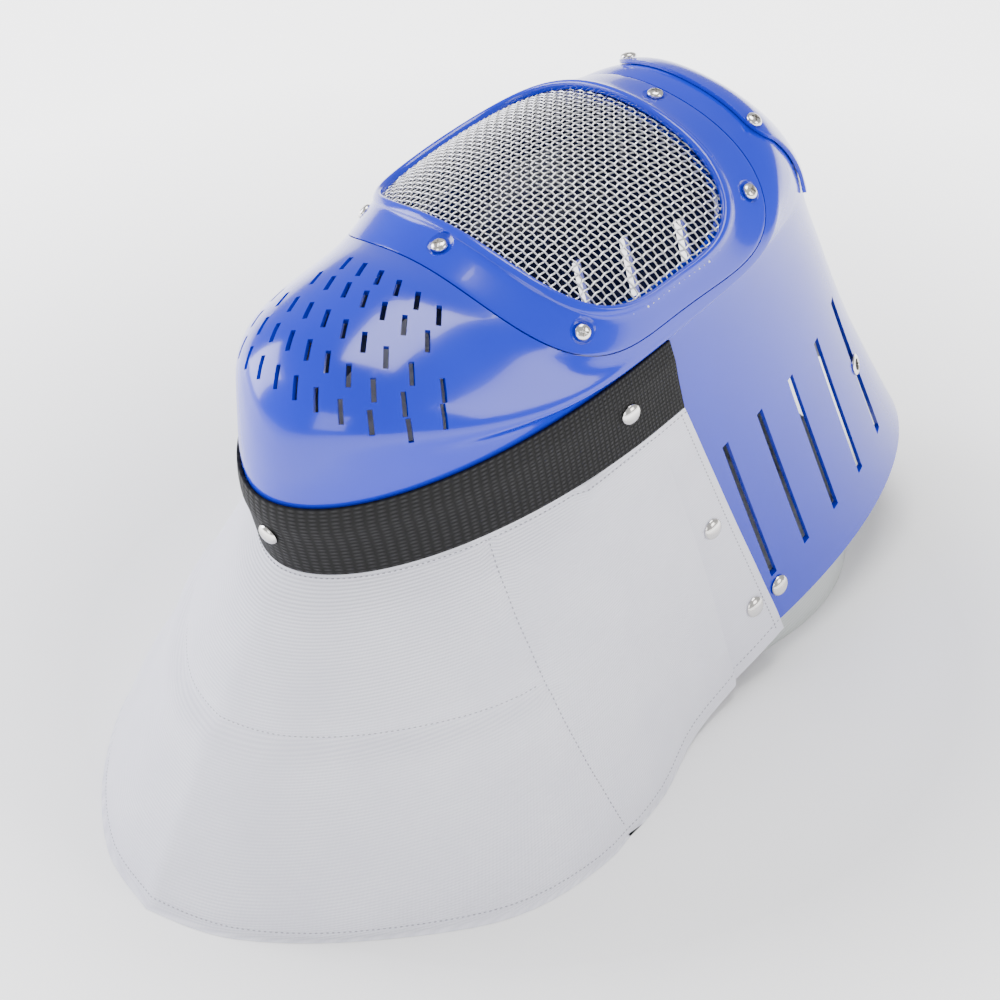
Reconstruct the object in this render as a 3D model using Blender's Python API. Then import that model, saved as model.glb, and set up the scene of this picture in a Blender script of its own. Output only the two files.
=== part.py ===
"""Fencing mask lying on its back: a moulded shell with a screwed window frame, a wire face, a chin strap
and a padded bib that stands on the floor.

The mask is modelled in its own frame: X to the wearer's left, Y from the chin to the crown, Z from the open
rim up to the face, with the origin on the rim's plane below the frame's lower screw. An empty then tilts all
of it to the pose in which it rests on the bib's hem and the head band, with the floor at Z = 0.
"""

import math
from collections import namedtuple

import bmesh
import bpy
from mathutils import Matrix, Vector

# Overall sizes, in metres
FACE_HEIGHT = 0.246
FACE_ARC = 0.101
FACE_BOW = 0.287
FACE_TOP = 0.0465
CHIN_REACH = 0.1145
CROWN_REACH = 0.230
RIM_HALF_WIDTH = 0.083
SHELL_WALL = 0.0026
REST_TILT = math.radians(9.0)
RIM_ABOVE_FLOOR = 0.007
CLEARANCE = 0.0003
DOME_BEND = 0.95

# Window and frame
WINDOW_HALF_WIDTH = 0.070
WINDOW_HEIGHT = 0.1064
WINDOW_BASE = 0.0103
WINDOW_SQUARENESS = 3.35
SEAM_HALF_WIDTH = 0.0755
SEAM_BASE = -0.0115
SEAM_TOP = 0.137
SEAM_MIDDLE = 0.060
SEAM_SIDE_HEIGHT = 0.2015
SEAM_FRONT_SQUARE = 3.5
SEAM_BACK_SQUARE = 4.4
FRAME_WALL = 0.0020
LIP_HEIGHT = 0.0034
MESH_THICKNESS = 0.0010

# Crown cap
CAP_THICKNESS = 0.0018
CAP_HALF_WIDTH = 0.043
CAP_CORNER = 0.010
CAP_GAP = 0.0005
CAP_COLUMNS = 6

# Strap, bib and head band
STRAP_THICKNESS = 0.0016
STRAP_END = 0.054
BIB_THICKNESS = 0.0020
BIB_HALF_WIDTH = 0.121
BIB_REACH = 0.222
BIB_BULGE = 0.002
FLAP_TOP_END = 0.056
FLAP_GAP = 0.0006
FLAP_COLUMNS = 3
HEM_RISE = 0.017
BAND_WIDTH = 0.046
BAND_THICKNESS = 0.0022
BAND_START = 0.077
BAND_MIDDLE = 0.095
BAND_REACH = 0.183
BAND_GAP = 0.0005
BAND_COLUMNS = 18
FLOOR_OVERRUN = 0.003

# Fasteners, with where each sits along Y and how high
RIVET_RADIUS = 0.0050
RIVET_HEIGHT = 0.0026
RIVET_STEM_RADIUS = 0.0015
RIVET_TAIL_RADIUS = 0.0030
RIVET_TAIL_HEIGHT = 0.0008
SCREW_RADIUS = 0.0037
SCREW_HEIGHT = 0.0023
SCREW_SHANK_RADIUS = 0.0015
SCREW_SHANK = 0.0075
SCREW_DISH_RADIUS = 0.0055
SCREW_SEAT_SHARE = 0.10
HOLE_RADIUS = 0.0018
HOLE_DEPTH = 0.012
EYELET_RADIUS = 0.0048
EYELET_BORE = 0.0026
EYELET_TUBE = 0.0033
EYELET_FLANGE = 0.0008
ROUND_SIDES = 8
STRAP_RIVET_LEVEL = 6.0
STRAP_RIVET_Y = 0.025
BIB_RIVETS = {"upper": (0.0565, 0.077), "lower": (0.0695, 0.021)}
BAND_RIVET = (0.0885, 0.0175)
EYELET_PLACE = (0.1795, 0.0735)
FRAME_SCREWS = {
    "chin": (0.000, 0.000),
    "brow": (0.000, 0.1305),
    "low_left": (0.064, 0.0145),
    "low_right": (-0.064, 0.0145),
    "high_left": (0.0585, 0.1225),
    "high_right": (-0.0585, 0.1225),
}
CROWN_SCREW_X = 0.0358
CROWN_SCREW_LEVEL = 0.52

# Vents in the chin and long slots in the sides
VENT_LENGTH = 0.0105
VENT_WIDTH = 0.0023
VENT_DEPTH = 0.012
VENT_SPACING = 0.0110
VENT_LEAN = 0.65
VENT_FAN = 8.0
SLOT_LENGTH = 0.085
SLOT_WIDTH = 0.0040
SLOT_DEPTH = 0.030
SLOT_SPACING = 0.0242
SLOT_START = 0.0820
SLOT_MIDDLE_HEIGHT = 0.067
SLOT_COUNT = 5
SLOT_LEAN = math.radians(7.5)

COLUMNS = 40
HALF_TURN = math.pi
COLUMN_TURN = 2 * HALF_TURN / COLUMNS

# A row of the shell gives where its outline crosses the chin, the sides and the crown. The reaches are
# shares of CHIN_REACH, RIM_HALF_WIDTH and CROWN_REACH, the heights of FACE_HEIGHT, and the middle, where
# the outline is widest, a share of CROWN_REACH. The bow is how far the row's height still bends like the
# frame's edge.
ShellRow = namedtuple(
    "ShellRow", "chin chin_up side side_up crown crown_up middle front_square back_square bow"
)
SHELL_ROWS = (
    ShellRow(0.260, 0.9940, 0.918, 0.800, 0.641, 0.935, 0.252, 3.00, 4.00, 0.90),
    ShellRow(0.500, 0.9960, 0.916, 0.791, 0.682, 0.915, 0.239, 3.20, 3.35, 0.60),
    ShellRow(0.700, 0.9800, 0.909, 0.784, 0.719, 0.870, 0.222, 2.90, 3.00, 0.30),
    ShellRow(0.855, 0.9330, 0.895, 0.777, 0.754, 0.813, 0.204, 2.50, 2.80, 0.10),
    ShellRow(0.955, 0.8550, 0.875, 0.771, 0.785, 0.744, 0.183, 2.10, 2.66, 0.00),
    ShellRow(1.005, 0.7642, 0.855, 0.7642, 0.804, 0.675, 0.161, 1.95, 2.60, 0.00),
    ShellRow(0.985, 0.6850, 0.842, 0.6850, 0.822, 0.602, 0.161, 1.90, 2.55, 0.00),
    ShellRow(0.970, 0.6057, 0.848, 0.6057, 0.840, 0.524, 0.161, 1.88, 2.55, 0.00),
    ShellRow(0.967, 0.5915, 0.850, 0.5915, 0.843, 0.512, 0.161, 1.88, 2.55, 0.00),
)
HOOD_ROWS = (
    ShellRow(0.967, 0.48, 0.870, 0.480, 0.864, 0.407, 0.178, 1.88, 2.55, 0.00),
    ShellRow(0.967, 0.34, 0.900, 0.346, 0.894, 0.293, 0.200, 1.88, 2.50, 0.00),
    ShellRow(0.967, 0.20, 0.939, 0.203, 0.935, 0.175, 0.226, 1.88, 2.40, 0.00),
    ShellRow(0.967, 0.09, 0.974, 0.089, 0.971, 0.077, 0.248, 1.88, 2.30, 0.00),
    ShellRow(0.967, 0.00, 1.000, 0.000, 1.000, 0.000, 0.261, 1.88, 2.25, 0.00),
)
LEDGE_START = 0.06

# The levels of the shell at which the strap, the bib's tucked edge and the crown cap have their rows
StrapRow = namedtuple("StrapRow", "level over_bib")
STRAP_ROWS = (StrapRow(5.0, 0.0), StrapRow(5.6, 1.0), StrapRow(6.0, 1.0), StrapRow(7.0, 1.0))
BIB_TUCK_LEVELS = (5.75, 6.0, 7.12)
CAP_LEVELS = (0.15, 0.32, 0.60, 1.0, 2.0, 3.0, 4.0, 5.0)

# A row of the frame's section: its share of the way from the window to the seam, and its lift as a share
# of LIP_HEIGHT above the flange or of FRAME_WALL below it.
FrameRow = namedtuple("FrameRow", "across lift")
FRAME_ROWS = (
    FrameRow(0.030, -0.15),
    FrameRow(0.000, 0.45),
    FrameRow(0.020, 0.85),
    FrameRow(0.085, 1.00),
    FrameRow(0.190, 0.80),
    FrameRow(0.300, 0.42),
    FrameRow(0.930, 0.10),
    FrameRow(1.000, 0.00),
)
FRAME_UNDER_ROWS = (
    FrameRow(1.000, 1.0),
    FrameRow(0.270, 1.0),
    FrameRow(0.240, 0.35),
)
MESH_OVERLAP = 0.17
MESH_RINGS = (0.38, 0.74)

# Half of the hem, from the front to the flap's rear end. The share is of the way round, the width of
# BIB_HALF_WIDTH, the reach of BIB_REACH, and the rise of HEM_RISE above the floor.
HemRow = namedtuple("HemRow", "share width reach rise")
HEM_ROWS = (
    HemRow(0.000, 0.000, -1.000, -0.18),
    HemRow(0.110, 0.322, -0.946, -0.18),
    HemRow(0.250, 0.653, -0.797, -0.18),
    HemRow(0.417, 0.942, -0.568, -0.18),
    HemRow(0.550, 1.000, -0.347, -0.18),
    HemRow(0.685, 0.915, -0.126, -0.18),
    HemRow(0.800, 0.772, 0.050, 0.03),
    HemRow(0.900, 0.715, 0.207, 0.34),
    HemRow(1.000, 0.690, 0.378, 1.00),
)
BIB_PROFILE = (0.10, 0.32, 0.56, 0.80, 1.0)

# A row of vents: its level on the shell, the first vent's distance from the middle and the last one's,
# as multiples of VENT_SPACING
VentRow = namedtuple("VentRow", "level first last")
VENT_ROWS = (
    VentRow(0.02, 0.5, 2.5),
    VentRow(0.55, 0.0, 3.0),
    VentRow(1.15, 0.5, 4.5),
    VentRow(1.85, 0.0, 5.0),
    VentRow(2.60, 0.5, 4.5),
)


def smoothed(values, place):
    """A value between the table's entries, on a curve that passes through them."""
    place = min(max(place, 0.0), len(values) - 1.0)
    low = min(int(place), len(values) - 2)
    share = place - low
    before = values[max(low - 1, 0)]
    start, end = values[low], values[low + 1]
    after = values[min(low + 2, len(values) - 1)]
    leave, arrive = (end - before) / 2, (after - start) / 2
    return (
        start * (2 * share**3 - 3 * share**2 + 1)
        + leave * (share**3 - 2 * share**2 + share)
        + end * (3 * share**2 - 2 * share**3)
        + arrive * (share**3 - share**2)
    )


def crossing(rises, low, high):
    """Where a rising test first fails, by halving."""
    for _ in range(40):
        middle = (low + high) / 2
        if rises(middle):
            low = middle
        else:
            high = middle
    return low


def face_height(x, y):
    """The height of the bowed face over a point of the plan."""
    across = FACE_ARC - math.sqrt(max(FACE_ARC**2 - x**2, 0.0))
    return FACE_HEIGHT - (y - FACE_TOP) ** 2 / (2 * FACE_BOW) - across


def round_outline(half_width, front, back, middle, front_square, back_square, turn):
    """A point of a squared oval. The turn is 0 at the chin and half a turn at the crown."""
    forward, aside = math.cos(turn), math.sin(turn)
    square = front_square if forward > 0 else back_square
    reach = middle - front if forward > 0 else back - middle
    out = (abs(forward) ** square + abs(aside) ** square) ** (-1 / square)
    return half_width * aside * out, middle - reach * forward * out


def window_point(turn, share=1.0):
    middle = WINDOW_BASE + WINDOW_HEIGHT / 2
    x, y = round_outline(
        WINDOW_HALF_WIDTH,
        WINDOW_BASE,
        WINDOW_BASE + WINDOW_HEIGHT,
        middle,
        WINDOW_SQUARENESS,
        WINDOW_SQUARENESS,
        turn,
    )
    x, y = x * share, middle + (y - middle) * share
    return Vector((x, y, face_height(x, y)))


def seam_point(turn):
    """The frame's outer edge. It drops further than the face does towards the sides."""
    x, y = round_outline(
        SEAM_HALF_WIDTH, SEAM_BASE, SEAM_TOP, SEAM_MIDDLE, SEAM_FRONT_SQUARE, SEAM_BACK_SQUARE, turn
    )
    side_drop = face_height(SEAM_HALF_WIDTH, FACE_TOP) - SEAM_SIDE_HEIGHT
    return Vector((x, y, face_height(x, y) - side_drop * (x / SEAM_HALF_WIDTH) ** 4))


def frame_normal(turn):
    """Square to the flange, away from the face."""
    step = 0.01
    before = seam_point(turn - step).lerp(window_point(turn - step), 0.5)
    after = seam_point(turn + step).lerp(window_point(turn + step), 0.5)
    across = seam_point(turn) - window_point(turn)
    normal = across.cross(after - before).normalized()
    return normal if normal.z > 0 else -normal


def frame_point(turn, across, lift):
    """A point of the frame: across from the window to the seam, lifted off the flange."""
    return window_point(turn).lerp(seam_point(turn), across) + frame_normal(turn) * lift


def frame_reach(turn):
    """The share of the way to the seam at which the frame stops, a clearance short of it."""
    return 1 - 2 * CLEARANCE / (seam_point(turn) - window_point(turn)).length


def frame_place(x, y):
    """The turn and the share across at which a point of the plan lies on the frame."""
    spot = Vector((abs(x), y))

    def behind(turn):
        inner, outer = window_point(turn).xy, seam_point(turn).xy
        across = outer - inner
        return across.x * (spot - inner).y - across.y * (spot - inner).x > 0

    turn = crossing(behind, 0.0, HALF_TURN)
    inner, outer = window_point(turn).xy, seam_point(turn).xy
    share = (spot - inner).dot(outer - inner) / (outer - inner).length_squared
    return math.copysign(turn, x) if x else turn, share


def shell_row(level):
    """The shell's row at a level, which may lie between two rows of the table."""
    rows = SHELL_ROWS + HOOD_ROWS
    return ShellRow(*(smoothed([row[i] for row in rows], level) for i in range(len(ShellRow._fields))))


def seam_bow(turn, drop):
    """How far the seam is off a plain fall from its end to its side."""
    end = seam_point(0.0 if math.cos(turn) > 0 else HALF_TURN).z
    return seam_point(turn).z - end + (end - seam_point(HALF_TURN / 2).z) * drop


def row_point(row, turn):
    x, y = round_outline(
        row.side * RIM_HALF_WIDTH,
        -row.chin * CHIN_REACH,
        row.crown * CROWN_REACH,
        row.middle * CROWN_REACH,
        row.front_square,
        row.back_square,
        turn,
    )
    end_up = row.chin_up if math.cos(turn) > 0 else row.crown_up
    bend = SEAM_HALF_WIDTH / FACE_ARC
    if math.cos(turn) > 0:
        bend += (DOME_BEND - bend) * (1 - row.bow)
    out = min(abs(x) / (row.side * RIM_HALF_WIDTH), 1.0)
    drop = (1 - math.sqrt(1 - (bend * out) ** 2)) / (1 - math.sqrt(1 - bend**2))
    height = FACE_HEIGHT * (end_up - (end_up - row.side_up) * drop)
    return Vector((x, y, height + seam_bow(turn, drop) * row.bow))


def shell_normal(level, turn):
    step = 0.02
    down = row_point(shell_row(level + step), turn) - row_point(shell_row(level - step), turn)
    along = row_point(shell_row(level), turn + step) - row_point(shell_row(level), turn - step)
    normal = along.cross(down).normalized()
    inside = Vector((0, SEAM_MIDDLE, FACE_HEIGHT / 2))
    return normal if normal.dot(row_point(shell_row(level), turn) - inside) > 0 else -normal


def shell_point(level, turn, offset=0.0):
    """A point of the shell's outer surface, or one that stands off it."""
    return row_point(shell_row(level), turn) + shell_normal(level, turn) * offset


def turn_at(level, y):
    """The turn at which the shell's outline reaches y."""
    row = shell_row(level)
    return crossing(lambda turn: row_point(row, turn).y < y, 0.0, HALF_TURN)


def level_at(height):
    """The level at which the shell's side is this high."""
    last = len(SHELL_ROWS + HOOD_ROWS) - 1.0
    return crossing(lambda level: shell_row(level).side_up * FACE_HEIGHT > height, 3.0, last)


def hood_place(y, height):
    """The level and the turn of a point of the hood's side."""
    level = level_at(height)
    return level, turn_at(level, y)


def hood_half_width(y, height):
    """How far the hood's side is from the middle, or its widest ahead of its front edge."""
    level, turn = hood_place(y, height)
    return row_point(shell_row(level), max(turn, HALF_TURN / 2)).x


def floor_height(y):
    """The floor under a point of the plan, in the mask's own frame."""
    return -(RIM_ABOVE_FLOOR + y * math.sin(REST_TILT)) / math.cos(REST_TILT)


def material(name, colour, roughness, metallic=0.0):
    made = bpy.data.materials.new(name)
    made.use_nodes = True
    shader = made.node_tree.nodes["Principled BSDF"]
    shader.inputs["Base Color"].default_value = (*colour, 1.0)
    shader.inputs["Roughness"].default_value = roughness
    shader.inputs["Metallic"].default_value = metallic
    return made


def add_object(name, built, look, stand):
    """A mesh object from a bmesh, standing with the rest of the mask. An open sheet faces away from the
    middle of the head."""
    mesh = bpy.data.meshes.new(name)
    bmesh.ops.recalc_face_normals(built, faces=built.faces)
    if any(edge.is_boundary for edge in built.edges):
        head = Vector((0, SEAM_MIDDLE, 0))
        facing_out = sum(
            face.calc_area() * face.normal.dot(face.calc_center_median() - head) for face in built.faces
        )
        if facing_out < 0:
            bmesh.ops.reverse_faces(built, faces=built.faces)
    built.to_mesh(mesh)
    built.free()
    if look:
        mesh.materials.append(look)
    mesh.shade_smooth()
    mesh.set_sharp_from_angle(angle=math.radians(40))
    made = bpy.data.objects.new(name, mesh)
    bpy.context.scene.collection.objects.link(made)
    made.parent = stand
    return made


def grid_faces(built, rows, closed=False):
    """Faces between rows of points, and the rows of vertices that they join."""
    made = [[built.verts.new(point) for point in row] for row in rows]
    count = len(made[0])
    for upper, lower in zip(made, made[1:]):
        for i in range(count if closed else count - 1):
            j = (i + 1) % count
            built.faces.new((upper[i], upper[j], lower[j], lower[i]))
    return made


def walled(made, thickness, offset=-1.0, even=True):
    """Gives an open sheet its wall, inwards from the modelled side or, with an offset of 1, outwards."""
    wall = made.modifiers.new("wall", "SOLIDIFY")
    wall.thickness = thickness
    wall.offset = offset
    wall.use_even_offset = even
    return made


def cut(made, *cutters):
    """Cuts the collections of cutters out of an object."""
    made.modifiers.new("flat_faces", "TRIANGULATE")
    for collection in cutters:
        modifier = made.modifiers.new(collection.name, "BOOLEAN")
        modifier.operation = "DIFFERENCE"
        modifier.solver = "EXACT"
        modifier.operand_type = "COLLECTION"
        modifier.collection = collection


def cutter_group(name):
    group = bpy.data.collections.new(name)
    bpy.context.scene.collection.children.link(group)
    return group


def add_cutter(name, built, stand, group):
    cutter = add_object(name, built, None, stand)
    cutter.hide_render = True
    cutter.display_type = "WIRE"
    bpy.context.scene.collection.objects.unlink(cutter)
    group.objects.link(cutter)


def spun(built, points, edges):
    """Spins a section that starts half a side round, so that no corner lies in the mask's middle plane."""
    half_side = Matrix.Rotation(HALF_TURN / ROUND_SIDES, 4, "Z")
    bmesh.ops.transform(built, matrix=half_side, verts=points)
    bmesh.ops.spin(
        built,
        geom=points + edges,
        axis=(0, 0, 1),
        cent=(0, 0, 0),
        dvec=(0, 0, 0),
        angle=2 * HALF_TURN,
        steps=ROUND_SIDES,
        use_merge=True,
    )
    bmesh.ops.remove_doubles(built, verts=built.verts, dist=1e-6)
    return built


def turned(profile):
    """A round solid from (radius, height) pairs that start and end on the axis."""
    built = bmesh.new()
    points = [built.verts.new((radius, 0, height)) for radius, height in profile]
    edges = [built.edges.new(pair) for pair in zip(points, points[1:])]
    return spun(built, points, edges)


def turned_ring(profile):
    """A round solid with a bore, from (radius, height) pairs that go once round its section."""
    built = bmesh.new()
    points = [built.verts.new((radius, 0, height)) for radius, height in profile]
    edges = [built.edges.new(pair) for pair in zip(points, points[1:] + points[:1])]
    return spun(built, points, edges)


def stand_on(built, point, normal):
    """Moves a thing that is modelled upright at the origin to a point, along a normal."""
    upright = normal.to_track_quat("Z", "Y").to_matrix().to_4x4()
    bmesh.ops.transform(built, matrix=Matrix.Translation(point) @ upright, verts=built.verts)
    return built


def hole(point, normal, radius=HOLE_RADIUS):
    """A round cutter that passes right through what lies under a point."""
    profile = ((0, HOLE_DEPTH), (radius, HOLE_DEPTH), (radius, -HOLE_DEPTH), (0, -HOLE_DEPTH))
    return stand_on(turned(profile), point, normal)


def bar(length, width, depth, point, along, normal):
    """A box cutter, centred on a point, long one way and deep along the normal."""
    across = normal.cross(along).normalized()
    along = across.cross(normal).normalized()
    built = bmesh.new()
    bmesh.ops.create_cube(built, size=1.0)
    turn = Matrix((across, along, normal)).transposed().to_4x4()
    scale = Matrix.Diagonal((width, length, depth, 1.0))
    bmesh.ops.transform(built, matrix=Matrix.Translation(point) @ turn @ scale, verts=built.verts)
    return built


def clear_scene():
    for thing in list(bpy.data.objects):
        bpy.data.objects.remove(thing, do_unlink=True)


def all_turns():
    return [COLUMN_TURN * i for i in range(COLUMNS)]


def make_shell(look, stand):
    turns = all_turns()
    under = -(FRAME_WALL + 2 * CLEARANCE)
    rows = [[frame_point(turn, across, under) for turn in turns] for across in (LEDGE_START, 1.0)]
    rows.append([frame_point(turn, 1.0, 0.0) for turn in turns])
    rows += [[row_point(row, turn) for turn in turns] for row in SHELL_ROWS]
    built = bmesh.new()
    edge = grid_faces(built, rows, closed=True)[-1]
    quarter = COLUMNS // 4
    behind = range(quarter, COLUMNS - quarter + 1)
    upper = [edge[i] for i in behind]
    for row in HOOD_ROWS:
        lower = [built.verts.new(row_point(row, turns[i])) for i in behind]
        for i in range(len(upper) - 1):
            built.faces.new((upper[i], upper[i + 1], lower[i + 1], lower[i]))
        upper = lower
    return walled(add_object("shell", built, look, stand), SHELL_WALL, even=False)


def make_frame(look, stand):
    rows = [(row.across, row.lift * LIP_HEIGHT) for row in FRAME_ROWS]
    rows += [(row.across, -row.lift * FRAME_WALL) for row in FRAME_UNDER_ROWS]
    rows.append(rows[0])
    built = bmesh.new()
    points = [[frame_point(t, across * frame_reach(t), lift) for t in all_turns()] for across, lift in rows]
    made = grid_faces(built, points, closed=True)
    bmesh.ops.remove_doubles(built, verts=made[0] + made[-1], dist=1e-6)
    return add_object("window_frame", built, look, stand)


def make_wire_mesh(look, stand):
    """The curved face grille as one thin sheet, held between the frame and the shell's ledge."""
    sunk = FRAME_WALL - MESH_THICKNESS
    rings = []
    for share in MESH_RINGS:
        rings.append([window_point(turn, share) - Vector((0, 0, sunk)) for turn in all_turns()])
    rings.append([frame_point(turn, 0.0, -sunk) for turn in all_turns()])
    rings.append([frame_point(turn, MESH_OVERLAP, -sunk) for turn in all_turns()])
    built = bmesh.new()
    inner = grid_faces(built, rings, closed=True)[0]
    middle = built.verts.new(window_point(0, 0.0) - Vector((0, 0, sunk)))
    for a, b in zip(inner, inner[1:] + inner[:1]):
        built.faces.new((middle, a, b))
    return walled(add_object("wire_mesh", built, look, stand), MESH_THICKNESS)


def make_crown_cap(look, stand):
    """The thin plate over the crown, with rounded front corners."""
    front = shell_point(CAP_LEVELS[0], HALF_TURN)
    rows = []
    for level in CAP_LEVELS:
        run = (shell_point(level, HALF_TURN) - front).length
        short = max(CAP_CORNER - run, 0.0)
        half_width = CAP_HALF_WIDTH - CAP_CORNER + math.sqrt(CAP_CORNER**2 - short**2)
        edge = HALF_TURN - side_turn(level, half_width)
        steps = range(-CAP_COLUMNS, CAP_COLUMNS + 1)
        rows.append([shell_point(level, HALF_TURN + edge * i / CAP_COLUMNS, CAP_GAP) for i in steps])
    built = bmesh.new()
    grid_faces(built, rows)
    return walled(add_object("crown_cap", built, look, stand), CAP_THICKNESS, offset=1.0)


def side_turn(level, x):
    """The turn behind the widest point at which the shell's outline is x from the middle."""
    row = shell_row(level)
    return crossing(lambda turn: row_point(row, turn).x > x, 0.55 * HALF_TURN, HALF_TURN)


def wrapping_turns(end):
    """The shell's own turns from one side round the chin to the other, and the two ends."""
    last = int(end / COLUMN_TURN - 1e-6)
    return [-end] + [COLUMN_TURN * i for i in range(-last, last + 1)] + [end]


def make_strap(look, stand):
    """The webbing band. Its top edge lies on the shell and the rest over the bib's tucked edge."""
    turns = wrapping_turns(turn_at(STRAP_ROWS[0].level, STRAP_END))
    over_bib = BIB_THICKNESS + CLEARANCE
    rows = []
    for row in STRAP_ROWS:
        rows.append([shell_point(row.level, turn, CLEARANCE + row.over_bib * over_bib) for turn in turns])
    built = bmesh.new()
    grid_faces(built, rows)
    return walled(add_object("chin_strap", built, look, stand), STRAP_THICKNESS, offset=1.0)


def hem_point(share):
    """A point of the hem, by its share of the way from the front to the flap's end. It runs a little
    below the floor, where the floor's cutter trims it flat."""
    place = abs(share)
    shares = [row.share for row in HEM_ROWS]
    index = max(i for i in range(len(shares) - 1) if shares[i] <= place)
    spot = index + (place - shares[index]) / (shares[index + 1] - shares[index])
    x = smoothed([row.width for row in HEM_ROWS], spot) * BIB_HALF_WIDTH
    y = smoothed([row.reach for row in HEM_ROWS], spot) * BIB_REACH
    rise = smoothed([row.rise for row in HEM_ROWS], spot) * HEM_RISE
    return Vector((math.copysign(x, share), y, floor_height(y) + rise))


def bib_turns():
    """The turns of the bib's columns at its top: the shell's own, and closer ones along each flap."""
    quarter = HALF_TURN / 2
    end = turn_at(BIB_TUCK_LEVELS[-1], FLAP_TOP_END)
    flap = [quarter + (end - quarter) * i / FLAP_COLUMNS for i in range(1, FLAP_COLUMNS + 1)]
    front = [COLUMN_TURN * i for i in range(-(COLUMNS // 4), COLUMNS // 4 + 1)]
    return [-turn for turn in reversed(flap)] + front + flap


def bib_column(turn, share):
    """A column of the bib's inner face from its tucked edge to the hem. Behind the hood's front edge it
    lies on the hood."""
    column = [shell_point(level, turn, CLEARANCE) for level in BIB_TUCK_LEVELS]
    top, hem = column[-1], hem_point(share)
    outward = Vector((hem.x - top.x, hem.y - top.y, 0)).normalized()
    flap = abs(turn) > HALF_TURN / 2 + 1e-6
    for down in BIB_PROFILE:
        bulge = 0.0 if flap else BIB_BULGE * math.sin(HALF_TURN * down)
        point = top.lerp(hem, down) + outward * bulge
        wall = hood_half_width(point.y, max(point.z, 0.0)) + FLAP_GAP
        if flap or abs(turn) > 0.4 * HALF_TURN:
            point.x = math.copysign(wall if flap else max(wall, abs(point.x)), turn)
        column.append(point)
    return column


def make_bib(look, stand):
    """The padded skirt from under the strap to the floor, with a flap along each side of the hood."""
    turns = bib_turns()
    edge = [shell_point(BIB_TUCK_LEVELS[-1], turn) for turn in turns]
    runs = [0.0]
    for before, after in zip(edge, edge[1:]):
        runs.append(runs[-1] + (after - before).length)
    shares = [2 * run / runs[-1] - 1 for run in runs]
    columns = [bib_column(turn, share) for turn, share in zip(turns, shares)]
    built = bmesh.new()
    grid_faces(built, columns)
    return walled(add_object("bib", built, look, stand), BIB_THICKNESS, offset=1.0)


def make_head_band(look, stand):
    """The pale band behind the head. It stands on the floor inside the rim, and each end lies on the wall."""
    inset = SHELL_WALL + BAND_GAP
    half_width = hood_half_width(BAND_MIDDLE, floor_height(BAND_MIDDLE) + BAND_WIDTH) - inset
    plan = [(-half_width, BAND_START)]
    for i in range(BAND_COLUMNS + 1):
        turn = HALF_TURN * (i / BAND_COLUMNS - 0.5)
        y = BAND_MIDDLE + (BAND_REACH - BAND_MIDDLE) * math.cos(turn)
        plan.append((half_width * math.sin(turn), y))
    plan.append((half_width, BAND_START))
    upper = [Vector((x, y, floor_height(y) + BAND_WIDTH)) for x, y in plan]
    lower = [Vector((x, y, floor_height(y) - FLOOR_OVERRUN)) for x, y in plan]
    built = bmesh.new()
    grid_faces(built, (upper, lower))
    return walled(add_object("head_band", built, look, stand), BAND_THICKNESS)


def add_rivet(name, spot, normal, stack, look, stand):
    """A domed rivet on the outer surface, whose tail closes it inside the stack that it holds."""
    tail = -(stack + 2 * CLEARANCE)
    profile = (
        (0.0, RIVET_HEIGHT),
        (0.60 * RIVET_RADIUS, 0.82 * RIVET_HEIGHT),
        (0.92 * RIVET_RADIUS, 0.40 * RIVET_HEIGHT),
        (RIVET_RADIUS, 0.0),
        (RIVET_STEM_RADIUS, 0.0),
        (RIVET_STEM_RADIUS, tail),
        (RIVET_TAIL_RADIUS, tail),
        (RIVET_TAIL_RADIUS, tail - RIVET_TAIL_HEIGHT),
        (0.0, tail - RIVET_TAIL_HEIGHT),
    )
    add_object(name, stand_on(turned(profile), spot + normal * CLEARANCE, normal), look, stand)


def add_screw(name, spot, normal, look, stand):
    profile = (
        (0.0, SCREW_HEIGHT),
        (0.62 * SCREW_RADIUS, 0.88 * SCREW_HEIGHT),
        (SCREW_RADIUS, 0.40 * SCREW_HEIGHT),
        (SCREW_RADIUS, 0.0),
        (SCREW_SHANK_RADIUS, 0.0),
        (SCREW_SHANK_RADIUS, -SCREW_SHANK),
        (0.0, -SCREW_SHANK - SCREW_SHANK_RADIUS),
    )
    add_object(name, stand_on(turned(profile), spot + normal * CLEARANCE, normal), look, stand)


def add_frame_screws(look, stand):
    """Six screws through the frame and the shell's ledge, each seated in a round dish."""
    group = cutter_group("frame_screw_holes")
    for name, (x, y) in FRAME_SCREWS.items():
        turn, across = frame_place(x, y)
        normal = frame_normal(turn)
        seat = frame_point(turn, across, SCREW_SEAT_SHARE * LIP_HEIGHT)
        dish = (
            (0, HOLE_DEPTH),
            (SCREW_DISH_RADIUS, HOLE_DEPTH),
            (SCREW_DISH_RADIUS, 0),
            (HOLE_RADIUS, 0),
            (HOLE_RADIUS, -HOLE_DEPTH),
            (0, -HOLE_DEPTH),
        )
        add_cutter(f"dish_{name}", stand_on(turned(dish), seat, normal), stand, group)
        add_screw(f"frame_screw_{name}", seat, normal, look, stand)
    return group


def add_crown_screws(look, stand):
    group = cutter_group("crown_screw_holes")
    for side, name in ((1, "left"), (-1, "right")):
        turn = side * side_turn(CROWN_SCREW_LEVEL, CROWN_SCREW_X)
        normal = shell_normal(CROWN_SCREW_LEVEL, turn)
        spot = shell_point(CROWN_SCREW_LEVEL, turn, CAP_GAP + CAP_THICKNESS)
        add_cutter(f"crown_hole_{name}", hole(spot, normal), stand, group)
        add_screw(f"crown_screw_{name}", spot, normal, look, stand)
    return group


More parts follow.
